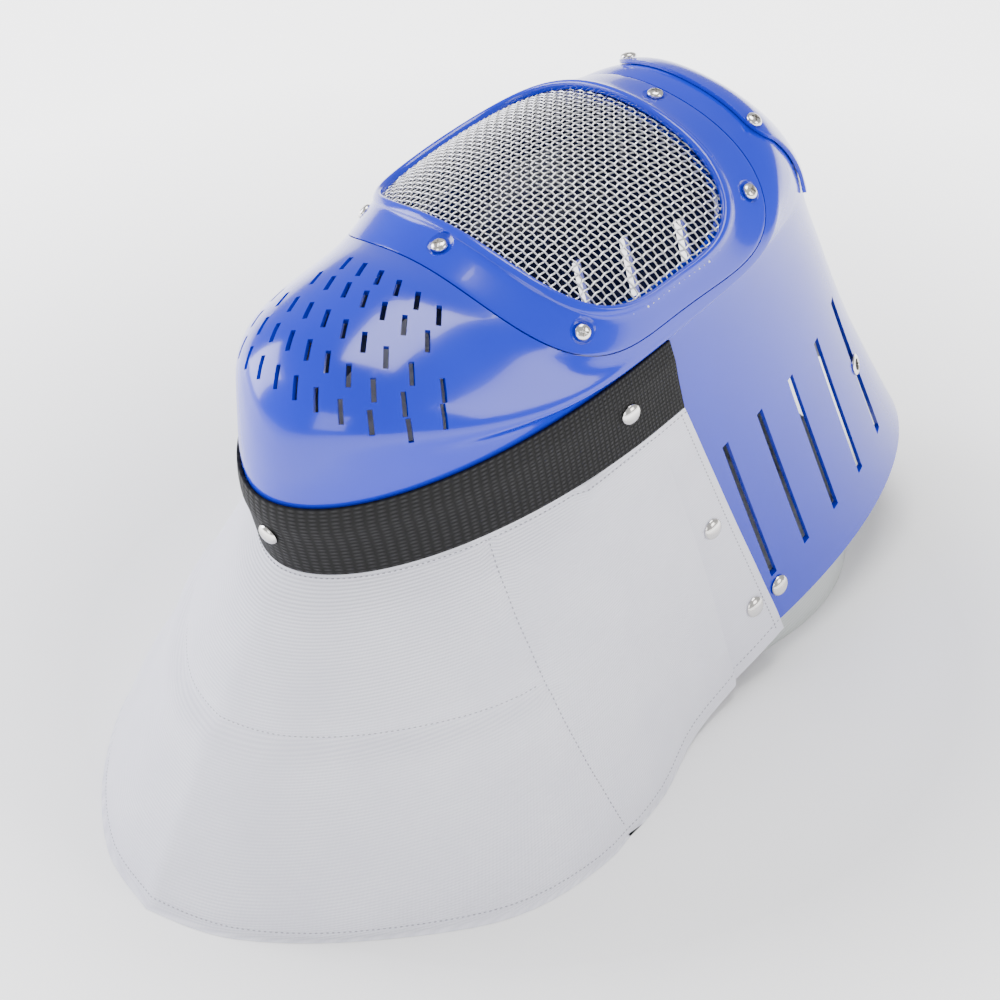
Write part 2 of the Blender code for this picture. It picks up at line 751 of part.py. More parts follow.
def add_strap_rivets(look, stand):
    group = cutter_group("strap_rivet_holes")
    aside = turn_at(STRAP_RIVET_LEVEL, STRAP_RIVET_Y)
    stack = 2 * CLEARANCE + BIB_THICKNESS + STRAP_THICKNESS
    for name, turn in (("chin", 0.0), ("left", aside), ("right", -aside)):
        normal = shell_normal(STRAP_RIVET_LEVEL, turn)
        spot = shell_point(STRAP_RIVET_LEVEL, turn, stack)
        add_cutter(f"strap_hole_{name}", hole(spot, normal), stand, group)
        add_rivet(f"strap_rivet_{name}", spot, normal, stack + SHELL_WALL + CLEARANCE, look, stand)
    return group


def add_side_rivets(kind, y, height, off, stack, group, look, stand):
    """A rivet on each side of the hood, on what stands this far off it."""
    level, turn = hood_place(y, height)
    for side, name in ((1, "left"), (-1, "right")):
        normal = shell_normal(level, side * turn)
        spot = shell_point(level, side * turn, off)
        add_cutter(f"{kind}_hole_{name}", hole(spot, normal), stand, group)
        add_rivet(f"{kind}_{name}", spot, normal, stack, look, stand)


def add_eyelets(look, stand):
    """The round metal eyelets, with a flange on each side of the wall."""
    group = cutter_group("eyelet_holes")
    level, turn = hood_place(*EYELET_PLACE)
    through = SHELL_WALL + 3 * CLEARANCE
    section = (
        (EYELET_BORE, EYELET_FLANGE),
        (EYELET_RADIUS, EYELET_FLANGE / 2),
        (EYELET_RADIUS, 0),
        (EYELET_TUBE, 0),
        (EYELET_TUBE, -through),
        (EYELET_RADIUS, -through),
        (EYELET_RADIUS, -through - EYELET_FLANGE / 2),
        (EYELET_BORE, -through - EYELET_FLANGE),
    )
    for side, name in ((1, "left"), (-1, "right")):
        normal = shell_normal(level, side * turn)
        spot = shell_point(level, side * turn, CLEARANCE)
        cutter = hole(spot, normal, EYELET_TUBE + CLEARANCE)
        add_cutter(f"eyelet_hole_{name}", cutter, stand, group)
        add_object(f"side_eyelet_{name}", stand_on(turned_ring(section), spot, normal), look, stand)
    return group


def front_turn(level, x):
    """The turn ahead of the widest point at which the shell's outline is x from the middle."""
    row = shell_row(level)
    return crossing(lambda turn: row_point(row, turn).x < x, 0.0, 0.49 * HALF_TURN)


def add_vents(stand):
    """Short slits in rows across the chin. They run down the dome and fan out to the sides."""
    group = cutter_group("chin_vents")
    for row_number, row in enumerate(VENT_ROWS):
        place = row.first
        while place <= row.last:
            for side in (1, -1) if place else (1,):
                turn = side * front_turn(row.level, place * VENT_SPACING)
                spot = shell_point(row.level, turn)
                normal = shell_normal(row.level, turn)
                aside = VENT_LEAN + VENT_FAN * spot.x
                down = Vector((aside, -1, -(normal.x * aside - normal.y) / normal.z))
                slit = bar(VENT_LENGTH, VENT_WIDTH, VENT_DEPTH, spot, down, normal)
                add_cutter(f"vent_{row_number}_{side * place:+.1f}", slit, stand, group)
            place += 1.0
    return group


def add_side_slots(stand):
    """Long slots down each side of the hood, all leaning the same way."""
    group = cutter_group("side_slots")
    along = Vector((0, math.sin(SLOT_LEAN), -math.cos(SLOT_LEAN)))
    for number in range(SLOT_COUNT):
        y = SLOT_START + SLOT_SPACING * number
        for side, name in ((1, "left"), (-1, "right")):
            spot = Vector((side * hood_half_width(y, SLOT_MIDDLE_HEIGHT), y, SLOT_MIDDLE_HEIGHT))
            slit = bar(SLOT_LENGTH, SLOT_WIDTH, SLOT_DEPTH, spot, along, Vector((side, 0, 0)))
            add_cutter(f"slot_{name}_{number}", slit, stand, group)
    return group


def add_floor_trim():
    """The floor as a cutter, which trims the hem and the head band flat."""
    group = cutter_group("floor_trim")
    built = bmesh.new()
    bmesh.ops.create_cube(built, size=1.0)
    size = 4 * (CROWN_REACH + BIB_REACH)
    bmesh.ops.transform(
        built, matrix=Matrix.Translation((0, 0, -size / 2)) @ Matrix.Scale(size, 4), verts=built.verts
    )
    add_cutter("floor", built, None, group)
    return group


def centre_over_origin(stand, made):
    """Slides the mask along Y until its outline is centred on the origin."""
    bpy.context.view_layer.update()
    graph = bpy.context.evaluated_depsgraph_get()
    lengths = []
    for thing in made:
        solid = thing.evaluated_get(graph)
        lengths += [(solid.matrix_world @ point.co).y for point in solid.data.vertices]
    stand.location.y -= (min(lengths) + max(lengths)) / 2


def main():
    clear_scene()
    stand = bpy.data.objects.new("rest_pose", None)
    bpy.context.scene.collection.objects.link(stand)
    stand.rotation_euler = (REST_TILT, 0, 0)
    stand.location = (0, 0, RIM_ABOVE_FLOOR)
    plastic = material("blue_plastic", (0.004, 0.045, 0.68), 0.16)
    wire = material("steel_wire", (0.72, 0.72, 0.74), 0.3, 1.0)
    webbing = material("black_webbing", (0.012, 0.012, 0.013), 0.85)
    cloth = material("white_cloth", (0.78, 0.78, 0.84), 0.9)
    elastic = material("pale_band", (0.68, 0.70, 0.69), 0.85)
    nickel = material("nickel", (0.74, 0.73, 0.70), 0.2, 1.0)

    shell = make_shell(plastic, stand)
    frame = make_frame(plastic, stand)
    make_wire_mesh(wire, stand)
    cap = make_crown_cap(plastic, stand)
    strap = make_strap(webbing, stand)
    bib = make_bib(cloth, stand)
    band = make_head_band(elastic, stand)

    frame_holes = add_frame_screws(nickel, stand)
    crown_holes = add_crown_screws(nickel, stand)
    strap_holes = add_strap_rivets(nickel, stand)
    bib_holes = cutter_group("bib_rivet_holes")
    on_bib = FLAP_GAP + BIB_THICKNESS
    for name, (y, height) in BIB_RIVETS.items():
        stack = on_bib + SHELL_WALL
        add_side_rivets(f"bib_rivet_{name}", y, height, on_bib, stack, bib_holes, nickel, stand)
    band_holes = cutter_group("band_rivet_holes")
    held = SHELL_WALL + BAND_GAP + BAND_THICKNESS
    add_side_rivets("band_rivet", *BAND_RIVET, 0.0, held + 3 * BAND_GAP, band_holes, nickel, stand)
    eyelet_holes = add_eyelets(nickel, stand)
    floor = add_floor_trim()

    openings = (add_vents(stand), add_side_slots(stand))
    cut(shell, *openings, frame_holes, crown_holes, strap_holes, bib_holes, band_holes, eyelet_holes)
    cut(frame, frame_holes)
    cut(cap, crown_holes)
    cut(strap, strap_holes)
    cut(bib, floor, strap_holes, bib_holes)
    cut(band, floor, band_holes)
    centre_over_origin(stand, (shell, bib))


main()
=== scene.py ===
"""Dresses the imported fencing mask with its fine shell, woven face, webbing, padded bib and fasteners.

Each piece is built in the mask's own frame, X to the wearer's left, Y from the chin to the crown and Z
up through the face, and PLACE then lays it down in the pose in which it rests on the floor.
"""

import math
from collections import namedtuple

import bmesh
import bpy
from mathutils import Matrix, Vector


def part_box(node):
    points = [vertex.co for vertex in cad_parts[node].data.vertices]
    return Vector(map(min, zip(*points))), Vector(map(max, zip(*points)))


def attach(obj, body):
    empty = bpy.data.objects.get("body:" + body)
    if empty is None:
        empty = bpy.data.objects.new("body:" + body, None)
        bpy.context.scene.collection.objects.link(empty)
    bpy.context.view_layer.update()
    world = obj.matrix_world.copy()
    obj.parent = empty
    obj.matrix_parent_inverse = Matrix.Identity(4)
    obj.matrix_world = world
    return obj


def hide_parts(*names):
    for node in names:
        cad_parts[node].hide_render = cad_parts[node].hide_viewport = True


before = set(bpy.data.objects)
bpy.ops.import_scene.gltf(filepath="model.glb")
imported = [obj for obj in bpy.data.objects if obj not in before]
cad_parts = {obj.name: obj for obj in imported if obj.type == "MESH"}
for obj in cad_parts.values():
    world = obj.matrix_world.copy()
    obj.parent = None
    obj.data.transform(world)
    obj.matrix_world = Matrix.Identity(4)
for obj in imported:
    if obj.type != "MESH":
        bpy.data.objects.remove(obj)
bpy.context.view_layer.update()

# Overall sizes, in metres
FACE_HEIGHT = 0.246
FACE_ARC = 0.101
FACE_BOW = 0.287
FACE_TOP = 0.0465
CHIN_REACH = 0.1145
CROWN_REACH = 0.230
RIM_HALF_WIDTH = 0.083
SHELL_WALL = 0.0026
REST_TILT = math.radians(9.0)
RIM_ABOVE_FLOOR = 0.007
CLEARANCE = 0.0003
DOME_BEND = 0.95

# Window and frame
WINDOW_HALF_WIDTH = 0.070
WINDOW_HEIGHT = 0.1064
WINDOW_BASE = 0.0103
WINDOW_SQUARENESS = 3.35
SEAM_HALF_WIDTH = 0.0755
SEAM_BASE = -0.0115
SEAM_TOP = 0.137
SEAM_MIDDLE = 0.060
SEAM_SIDE_HEIGHT = 0.2015
SEAM_FRONT_SQUARE = 3.5
SEAM_BACK_SQUARE = 4.4
FRAME_WALL = 0.0020
LIP_HEIGHT = 0.0034
MESH_THICKNESS = 0.0010

# Crown cap
CAP_THICKNESS = 0.0018
CAP_HALF_WIDTH = 0.043
CAP_CORNER = 0.010
CAP_GAP = 0.0005
CAP_COLUMNS = 24

# Strap, bib and head band
STRAP_THICKNESS = 0.0016
STRAP_END = 0.054
BIB_THICKNESS = 0.0020
BIB_HALF_WIDTH = 0.121
BIB_REACH = 0.222
BIB_BULGE = 0.002
FLAP_TOP_END = 0.056
FLAP_GAP = 0.0006
FLAP_COLUMNS = 12
HEM_RISE = 0.017
BAND_WIDTH = 0.046
BAND_THICKNESS = 0.0022
BAND_START = 0.077
BAND_MIDDLE = 0.095
BAND_REACH = 0.183
BAND_GAP = 0.0005
BAND_COLUMNS = 64

# Fasteners, with where each sits along Y and how high
RIVET_RADIUS = 0.0050
RIVET_HEIGHT = 0.0026
RIVET_STEM_RADIUS = 0.0015
SCREW_RADIUS = 0.0037
SCREW_HEIGHT = 0.0023
SCREW_SHANK_RADIUS = 0.0015
SCREW_DISH_RADIUS = 0.0055
SCREW_SEAT_SHARE = 0.10
HOLE_RADIUS = 0.0018
HOLE_DEPTH = 0.012
EYELET_RADIUS = 0.0048
EYELET_BORE = 0.0026
EYELET_TUBE = 0.0033
EYELET_FLANGE = 0.0008
ROUND_SIDES = 28
STRAP_RIVET_LEVEL = 6.0
STRAP_RIVET_Y = 0.025
BIB_RIVETS = {"upper": (0.0565, 0.077), "lower": (0.0695, 0.021)}
BAND_RIVET = (0.0885, 0.0175)
EYELET_PLACE = (0.1795, 0.0735)
FRAME_SCREWS = {
    "chin": (0.000, 0.000),
    "brow": (0.000, 0.1305),
    "low_left": (0.064, 0.0145),
    "low_right": (-0.064, 0.0145),
    "high_left": (0.0585, 0.1225),
    "high_right": (-0.0585, 0.1225),
}
CROWN_SCREW_X = 0.0358
CROWN_SCREW_LEVEL = 0.52

# Vents in the chin and long slots in the sides
VENT_LENGTH = 0.0105
VENT_WIDTH = 0.0023
VENT_DEPTH = 0.012
VENT_SPACING = 0.0110
VENT_LEAN = 0.65
VENT_FAN = 8.0
SLOT_LENGTH = 0.085
SLOT_WIDTH = 0.0040
SLOT_DEPTH = 0.030
SLOT_SPACING = 0.0242
SLOT_START = 0.0820
SLOT_MIDDLE_HEIGHT = 0.067
SLOT_COUNT = 5
SLOT_LEAN = math.radians(7.5)

COLUMNS = 160
HALF_TURN = math.pi
COLUMN_TURN = 2 * HALF_TURN / COLUMNS

# A row of the shell gives where its outline crosses the chin, the sides and the crown. The reaches are
# shares of CHIN_REACH, RIM_HALF_WIDTH and CROWN_REACH, the heights of FACE_HEIGHT, and the middle, where
# the outline is widest, a share of CROWN_REACH. The bow is how far the row's height still bends like the
# frame's edge.
ShellRow = namedtuple(
    "ShellRow", "chin chin_up side side_up crown crown_up middle front_square back_square bow"
)
SHELL_ROWS = (
    ShellRow(0.260, 0.9940, 0.918, 0.800, 0.641, 0.935, 0.252, 3.00, 4.00, 0.90),
    ShellRow(0.500, 0.9960, 0.916, 0.791, 0.682, 0.915, 0.239, 3.20, 3.35, 0.60),
    ShellRow(0.700, 0.9800, 0.909, 0.784, 0.719, 0.870, 0.222, 2.90, 3.00, 0.30),
    ShellRow(0.855, 0.9330, 0.895, 0.777, 0.754, 0.813, 0.204, 2.50, 2.80, 0.10),
    ShellRow(0.955, 0.8550, 0.875, 0.771, 0.785, 0.744, 0.183, 2.10, 2.66, 0.00),
    ShellRow(1.005, 0.7642, 0.855, 0.7642, 0.804, 0.675, 0.161, 1.95, 2.60, 0.00),
    ShellRow(0.985, 0.6850, 0.842, 0.6850, 0.822, 0.602, 0.161, 1.90, 2.55, 0.00),
    ShellRow(0.970, 0.6057, 0.848, 0.6057, 0.840, 0.524, 0.161, 1.88, 2.55, 0.00),
    ShellRow(0.967, 0.5915, 0.850, 0.5915, 0.843, 0.512, 0.161, 1.88, 2.55, 0.00),
)
HOOD_ROWS = (
    ShellRow(0.967, 0.48, 0.870, 0.480, 0.864, 0.407, 0.178, 1.88, 2.55, 0.00),
    ShellRow(0.967, 0.34, 0.900, 0.346, 0.894, 0.293, 0.200, 1.88, 2.50, 0.00),
    ShellRow(0.967, 0.20, 0.939, 0.203, 0.935, 0.175, 0.226, 1.88, 2.40, 0.00),
    ShellRow(0.967, 0.09, 0.974, 0.089, 0.971, 0.077, 0.248, 1.88, 2.30, 0.00),
    ShellRow(0.967, 0.00, 1.000, 0.000, 1.000, 0.000, 0.261, 1.88, 2.25, 0.00),
)
LEDGE_START = 0.06

# The levels of the shell at which the strap, the bib's tucked edge and the crown cap have their rows
StrapRow = namedtuple("StrapRow", "level over_bib")
STRAP_ROWS = (StrapRow(5.0, 0.0), StrapRow(5.6, 1.0), StrapRow(6.0, 1.0), StrapRow(7.0, 1.0))
BIB_TUCK_LEVELS = (5.75, 6.0, 6.4, 6.8, 7.12)
CAP_LEVELS = (0.15, 0.32, 0.60, 1.0, 2.0, 3.0, 4.0, 5.0)

# A row of the frame's section: its share of the way from the window to the seam, and its lift as a share
# of LIP_HEIGHT above the flange or of FRAME_WALL below it.
FrameRow = namedtuple("FrameRow", "across lift")
FRAME_ROWS = (
    FrameRow(0.030, -0.15),
    FrameRow(0.000, 0.45),
    FrameRow(0.020, 0.85),
    FrameRow(0.085, 1.00),
    FrameRow(0.190, 0.80),
    FrameRow(0.300, 0.42),
    FrameRow(0.930, 0.10),
    FrameRow(1.000, 0.00),
)
FRAME_UNDER_ROWS = (
    FrameRow(1.000, 1.0),
    FrameRow(0.270, 1.0),
    FrameRow(0.240, 0.35),
)

# Half of the hem, from the front to the flap's rear end. The share is of the way round, the width of
# BIB_HALF_WIDTH, the reach of BIB_REACH, and the rise of HEM_RISE above the floor.
HemRow = namedtuple("HemRow", "share width reach rise")
HEM_ROWS = (
    HemRow(0.000, 0.000, -1.000, -0.18),
    HemRow(0.110, 0.322, -0.946, -0.18),
    HemRow(0.250, 0.653, -0.797, -0.18),
    HemRow(0.417, 0.942, -0.568, -0.18),
    HemRow(0.550, 1.000, -0.347, -0.18),
    HemRow(0.685, 0.915, -0.126, -0.18),
    HemRow(0.800, 0.772, 0.050, 0.03),
    HemRow(0.900, 0.715, 0.207, 0.34),
    HemRow(1.000, 0.690, 0.378, 1.00),
)
BIB_PROFILE = tuple((i + 1) / 44 for i in range(44))

# A row of vents: its level on the shell, the first vent's distance from the middle and the last one's,
# as multiples of VENT_SPACING
VentRow = namedtuple("VentRow", "level first last")
VENT_ROWS = (
    VentRow(0.02, 0.5, 2.5),
    VentRow(0.55, 0.0, 3.0),
    VentRow(1.15, 0.5, 4.5),
    VentRow(1.85, 0.0, 5.0),
    VentRow(2.60, 0.5, 4.5),
)


def smoothed(values, place):
    """A value between the table's entries, on a curve that passes through them."""
    place = min(max(place, 0.0), len(values) - 1.0)
    low = min(int(place), len(values) - 2)
    share = place - low
    before = values[max(low - 1, 0)]
    start, end = values[low], values[low + 1]
    after = values[min(low + 2, len(values) - 1)]
    leave, arrive = (end - before) / 2, (after - start) / 2
    return (
        start * (2 * share**3 - 3 * share**2 + 1)
        + leave * (share**3 - 2 * share**2 + share)
        + end * (3 * share**2 - 2 * share**3)
        + arrive * (share**3 - share**2)
    )


def crossing(rises, low, high):
    """Where a rising test first fails, by halving."""
    for _ in range(40):
        middle = (low + high) / 2
        if rises(middle):
            low = middle
        else:
            high = middle
    return low


def face_height(x, y):
    """The height of the bowed face over a point of the plan."""
    across = FACE_ARC - math.sqrt(max(FACE_ARC**2 - x**2, 0.0))
    return FACE_HEIGHT - (y - FACE_TOP) ** 2 / (2 * FACE_BOW) - across


def round_outline(half_width, front, back, middle, front_square, back_square, turn):
    """A point of a squared oval. The turn is 0 at the chin and half a turn at the crown."""
    forward, aside = math.cos(turn), math.sin(turn)
    square = front_square if forward > 0 else back_square
    reach = middle - front if forward > 0 else back - middle
    out = (abs(forward) ** square + abs(aside) ** square) ** (-1 / square)
    return half_width * aside * out, middle - reach * forward * out


def window_point(turn, share=1.0):
    middle = WINDOW_BASE + WINDOW_HEIGHT / 2
    x, y = round_outline(
        WINDOW_HALF_WIDTH,
        WINDOW_BASE,
        WINDOW_BASE + WINDOW_HEIGHT,
        middle,
        WINDOW_SQUARENESS,
        WINDOW_SQUARENESS,
        turn,
    )
    x, y = x * share, middle + (y - middle) * share
    return Vector((x, y, face_height(x, y)))


def seam_point(turn):
    """The frame's outer edge. It drops further than the face does towards the sides."""
    x, y = round_outline(
        SEAM_HALF_WIDTH, SEAM_BASE, SEAM_TOP, SEAM_MIDDLE, SEAM_FRONT_SQUARE, SEAM_BACK_SQUARE, turn
    )
    side_drop = face_height(SEAM_HALF_WIDTH, FACE_TOP) - SEAM_SIDE_HEIGHT
    return Vector((x, y, face_height(x, y) - side_drop * (x / SEAM_HALF_WIDTH) ** 4))


def frame_normal(turn):
    """Square to the flange, away from the face."""
    step = 0.01
    before = seam_point(turn - step).lerp(window_point(turn - step), 0.5)
    after = seam_point(turn + step).lerp(window_point(turn + step), 0.5)
    across = seam_point(turn) - window_point(turn)
    normal = across.cross(after - before).normalized()
    return normal if normal.z > 0 else -normal


def frame_point(turn, across, lift):
    """A point of the frame: across from the window to the seam, lifted off the flange."""
    return window_point(turn).lerp(seam_point(turn), across) + frame_normal(turn) * lift


def frame_reach(turn):
    """The share of the way to the seam at which the frame stops, a clearance short of it."""
    return 1 - 2 * CLEARANCE / (seam_point(turn) - window_point(turn)).length


def frame_place(x, y):
    """The turn and the share across at which a point of the plan lies on the frame."""
    spot = Vector((abs(x), y))

    def behind(turn):
        inner, outer = window_point(turn).xy, seam_point(turn).xy
        across = outer - inner
        return across.x * (spot - inner).y - across.y * (spot - inner).x > 0

    turn = crossing(behind, 0.0, HALF_TURN)
    inner, outer = window_point(turn).xy, seam_point(turn).xy
    share = (spot - inner).dot(outer - inner) / (outer - inner).length_squared
    return math.copysign(turn, x) if x else turn, share


def shell_row(level):
    """The shell's row at a level, which may lie between two rows of the table."""
    rows = SHELL_ROWS + HOOD_ROWS
    return ShellRow(*(smoothed([row[i] for row in rows], level) for i in range(len(ShellRow._fields))))


def seam_bow(turn, drop):
    """How far the seam is off a plain fall from its end to its side."""
    end = seam_point(0.0 if math.cos(turn) > 0 else HALF_TURN).z
    return seam_point(turn).z - end + (end - seam_point(HALF_TURN / 2).z) * drop


def row_point(row, turn):
    x, y = round_outline(
        row.side * RIM_HALF_WIDTH,
        -row.chin * CHIN_REACH,
        row.crown * CROWN_REACH,
        row.middle * CROWN_REACH,
        row.front_square,
        row.back_square,
        turn,
    )
    end_up = row.chin_up if math.cos(turn) > 0 else row.crown_up
    bend = SEAM_HALF_WIDTH / FACE_ARC
    if math.cos(turn) > 0:
        bend += (DOME_BEND - bend) * (1 - row.bow)
    out = min(abs(x) / (row.side * RIM_HALF_WIDTH), 1.0)
    drop = (1 - math.sqrt(1 - (bend * out) ** 2)) / (1 - math.sqrt(1 - bend**2))
    height = FACE_HEIGHT * (end_up - (end_up - row.side_up) * drop)
    return Vector((x, y, height + seam_bow(turn, drop) * row.bow))


def shell_normal(level, turn):
    step = 0.02
    down = row_point(shell_row(level + step), turn) - row_point(shell_row(level - step), turn)
    along = row_point(shell_row(level), turn + step) - row_point(shell_row(level), turn - step)
    normal = along.cross(down).normalized()
    inside = Vector((0, SEAM_MIDDLE, FACE_HEIGHT / 2))
    return normal if normal.dot(row_point(shell_row(level), turn) - inside) > 0 else -normal


def shell_point(level, turn, offset=0.0):
    """A point of the shell's outer surface, or one that stands off it."""
    return row_point(shell_row(level), turn) + shell_normal(level, turn) * offset


def turn_at(level, y):
    """The turn at which the shell's outline reaches y."""
    row = shell_row(level)
    return crossing(lambda turn: row_point(row, turn).y < y, 0.0, HALF_TURN)


def level_at(height):
    """The level at which the shell's side is this high."""
    last = len(SHELL_ROWS + HOOD_ROWS) - 1.0
    return crossing(lambda level: shell_row(level).side_up * FACE_HEIGHT > height, 3.0, last)


def hood_place(y, height):
    """The level and the turn of a point of the hood's side."""
    level = level_at(height)
    return level, turn_at(level, y)


def hood_half_width(y, height):
    """How far the hood's side is from the middle, or its widest ahead of its front edge."""
    level, turn = hood_place(y, height)
    return row_point(shell_row(level), max(turn, HALF_TURN / 2)).x


def floor_height(y):
    """The floor under a point of the plan, in the mask's own frame."""
    return -(RIM_ABOVE_FLOOR + y * math.sin(REST_TILT)) / math.cos(REST_TILT)


# The camera that took the photograph, and the lights
CAMERA_PLACE = Vector((1.19944, -1.1653, 1.3869))
CAMERA_TURN = (math.radians(52.23), math.radians(1.548), math.radians(44.83))
CAMERA_LENS = 173.62
LIGHTS = (
    ("left_box", (-1.7, -0.8, 0.75), 1.1, 46.0, (0.90, 0.90, 1.0)),
    ("top_box", (-0.2, 0.5, 2.2), 1.2, 44.0, (1.0, 1.0, 1.0)),
    ("right_box", (1.7, 0.6, 1.1), 0.9, 16.0, (1.0, 0.98, 0.96)),
    ("front_box", (0.5, -2.0, 0.9), 1.0, 12.0, (0.96, 0.97, 1.0)),
)
WORLD_STRENGTH = 0.66
# The ground's emission is painted light: none near the mask, as a painted soft shadow, rising to a full
# painted glow further out.
GROUND_PAINTED_GLOW = 2.2
PAINTED_SHADOW_RADIUS = 0.20
PAINTED_SHADOW_FADE_RADIUS = 0.50

# Fine detail
WIRE_PITCH = 0.0031
WIRE_RADIUS = 0.00043
WIRE_REACH = 1.05
WEBBING_PITCH = 0.0026
RIB_PITCH = 0.00115
WRAP_RADIUS = 0.11
WAVES_PER_UNIT = 0.31416
PATCH_SCALE = 22.0
SCRATCH_SCALE = (900.0, 60.0, 90.0)
SCRATCH_DEPTH = 0.00001
RIPPLE_SCALE = 60.0
RIPPLE_DEPTH = 0.0001
METAL_GRAIN_DEPTH = 0.00002
MOTTLE_SCALE = 35.0
FIBRE_SCALE = 900.0
FIBRE_DEPTH = 0.00006
RIB_DEPTH = 0.00016
FUZZ_SCALE = 1400.0
FUZZ_DEPTH = 0.0001
KNOT_DEPTH = 0.0006
STITCH_SPACING = 0.0024
STITCH_LENGTH = 0.0015
STITCH_RADIUS = 0.00034
RECESS_LENGTH = 0.0042
RECESS_WIDTH = 0.0008
RECESS_DEPTH = 0.0026
SEAM_DOWN = 0.44
PANEL_SHARE = 0.45
PANEL_DRIFT = 0.17
PUFF = 0.0022
SEAM_DENT = 0.0022
EDGE_TAPER = 1 / 9
BROAD_WAVE = 0.0005
LOW_CREASE = 0.0012
STEP_PUFF = 0.0016
BAND_BOW = 0.0008

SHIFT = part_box("shell")[1][1] - CROWN_REACH * math.cos(REST_TILT)
PLACE = Matrix.Translation((0, SHIFT, RIM_ABOVE_FLOOR)) @ Matrix.Rotation(REST_TILT, 4, "X")


def node(tree, kind, inputs=None, **settings):
    """A shader node with its settings, and its inputs set or linked by name or number."""
    made = tree.nodes.new(kind)
    for key, value in settings.items():
        setattr(made, key, value)
    for socket, value in (inputs or {}).items():
        if isinstance(value, bpy.types.NodeSocket):
            tree.links.new(value, made.inputs[socket])
        else:
            made.inputs[socket].default_value = value
    return made


def new_material(name, **inputs):
    made = bpy.data.materials.new(name)
    made.use_nodes = True
    shader = made.node_tree.nodes["Principled BSDF"]
    for socket, value in inputs.items():
        shader.inputs[socket.replace("_", " ")].default_value = value
    return made, made.node_tree, shader


def new_group(name, inputs, outputs):
    """A node group with named sockets of these kinds, and what goes in and out of it."""
    group = bpy.data.node_groups.new(name, "ShaderNodeTree")
    for side, sockets in (("INPUT", inputs), ("OUTPUT", outputs)):
        for socket, kind in sockets.items():
            group.interface.new_socket(socket, in_out=side, socket_type="NodeSocket" + kind)
    return group, group.nodes.new("NodeGroupInput").outputs, group.nodes.new("NodeGroupOutput").inputs


def finished(name, group, effects, own, **sockets):
    """A material whose shader takes a group's effects, besides its own constant values."""
    made, tree, shader = new_material(name, **own)
    placed = node(tree, "ShaderNodeGroup", sockets, node_tree=group)
    for effect, socket in effects.items():
        tree.links.new(placed.outputs[effect], shader.inputs[socket])
    return made


def object_coordinates(tree):
    return node(tree, "ShaderNodeTexCoord").outputs["Object"]


def math_node(tree, operation, first, second):
    return node(tree, "ShaderNodeMath", {0: first, 1: second}, operation=operation).outputs[0]


def waves(tree, vector, scale, direction):
    wave = node(tree, "ShaderNodeTexWave", {"Vector": vector, "Scale": scale}, bands_direction=direction)
    return wave.outputs["Fac"]


def noise(tree, vector, scale, detail=3.0):
    made = node(tree, "ShaderNodeTexNoise", {"Vector": vector, "Scale": scale, "Detail": detail})
    return made.outputs["Fac"]


def bump(tree, height, distance, strength=1.0, under=None):
    """The surface's normal with a relief this deep in metres, on another relief if one is given."""
    inputs = {"Height": height, "Distance": distance, "Strength": strength}
    if under:
        inputs["Normal"] = under
    return node(tree, "ShaderNodeBump", inputs).outputs[0]


def ramp(tree, factor, low, high):
    """A number that goes from low to high with a factor."""
    return node(tree, "ShaderNodeMapRange", {0: factor, 3: low, 4: high}).outputs[0]


def mixed_colour(tree, factor, first, second):
    return node(tree, "ShaderNodeMix", {0: factor, 6: first, 7: second}, data_type="RGBA").outputs[2]


def wrapped_place_group():
    """How far round the mask and how high a point is, both in metres, on the mask's own axes."""
    group, _, out = new_group("wrapped_place", {}, {"Place": "Vector"})
    turned_back = node(
        group,
        "ShaderNodeVectorRotate",
        {"Vector": object_coordinates(group), "Center": PLACE.translation, "Angle": -REST_TILT},
        rotation_type="X_AXIS",
    )
    parts = node(group, "ShaderNodeSeparateXYZ", {0: turned_back.outputs[0]}).outputs
    ahead = math_node(group, "SUBTRACT", SEAM_MIDDLE, parts[1])
    around = math_node(group, "ARCTAN2", parts[0], ahead)
    run = math_node(group, "MULTIPLY", around, WRAP_RADIUS)
    place = node(group, "ShaderNodeCombineXYZ", {0: run, 1: parts[2]})
    group.links.new(place.outputs[0], out["Place"])
    return group


def moulded_plastic_group():
    """Moulded plastic with rubbed patches, a slight ripple and fine scratches."""
    outputs = {"Colour": "Color", "Roughness": "Float", "Normal": "Vector"}
    group, into, out = new_group("moulded_plastic", {"Colour": "Color", "Deep Colour": "Color"}, outputs)
    place = object_coordinates(group)
    patches = noise(group, place, PATCH_SCALE, 4.0)
    stretched = node(group, "ShaderNodeMapping", {"Vector": place, "Scale": SCRATCH_SCALE})
    scratches = bump(group, noise(group, stretched.outputs[0], 1.0, 1.0), SCRATCH_DEPTH, 0.5)
    ripple = bump(group, noise(group, place, RIPPLE_SCALE, 1.0), RIPPLE_DEPTH, 0.35, scratches)
    colour = mixed_colour(group, patches, into["Deep Colour"], into["Colour"])
    group.links.new(colour, out["Colour"])
    group.links.new(ramp(group, patches, 0.12, 0.26), out["Roughness"])
    group.links.new(ripple, out["Normal"])
    return group


def metal_grain_group():
    """Metal with fine grain that changes its colour and its gloss."""
    inputs = {"Colour": "Color", "Dull Colour": "Color"}
    inputs.update({"Scale": "Float", "Smooth": "Float", "Rough": "Float"})
    outputs = {"Colour": "Color", "Roughness": "Float", "Normal": "Vector"}
    group, into, out = new_group("metal_grain", inputs, outputs)
    grain = noise(group, object_coordinates(group), into["Scale"], 4.0)
    colour = mixed_colour(group, grain, into["Dull Colour"], into["Colour"])
    group.links.new(colour, out["Colour"])
    group.links.new(ramp(group, grain, into["Smooth"], into["Rough"]), out["Roughness"])
    group.links.new(bump(group, grain, METAL_GRAIN_DEPTH, 0.4), out["Normal"])
    return group


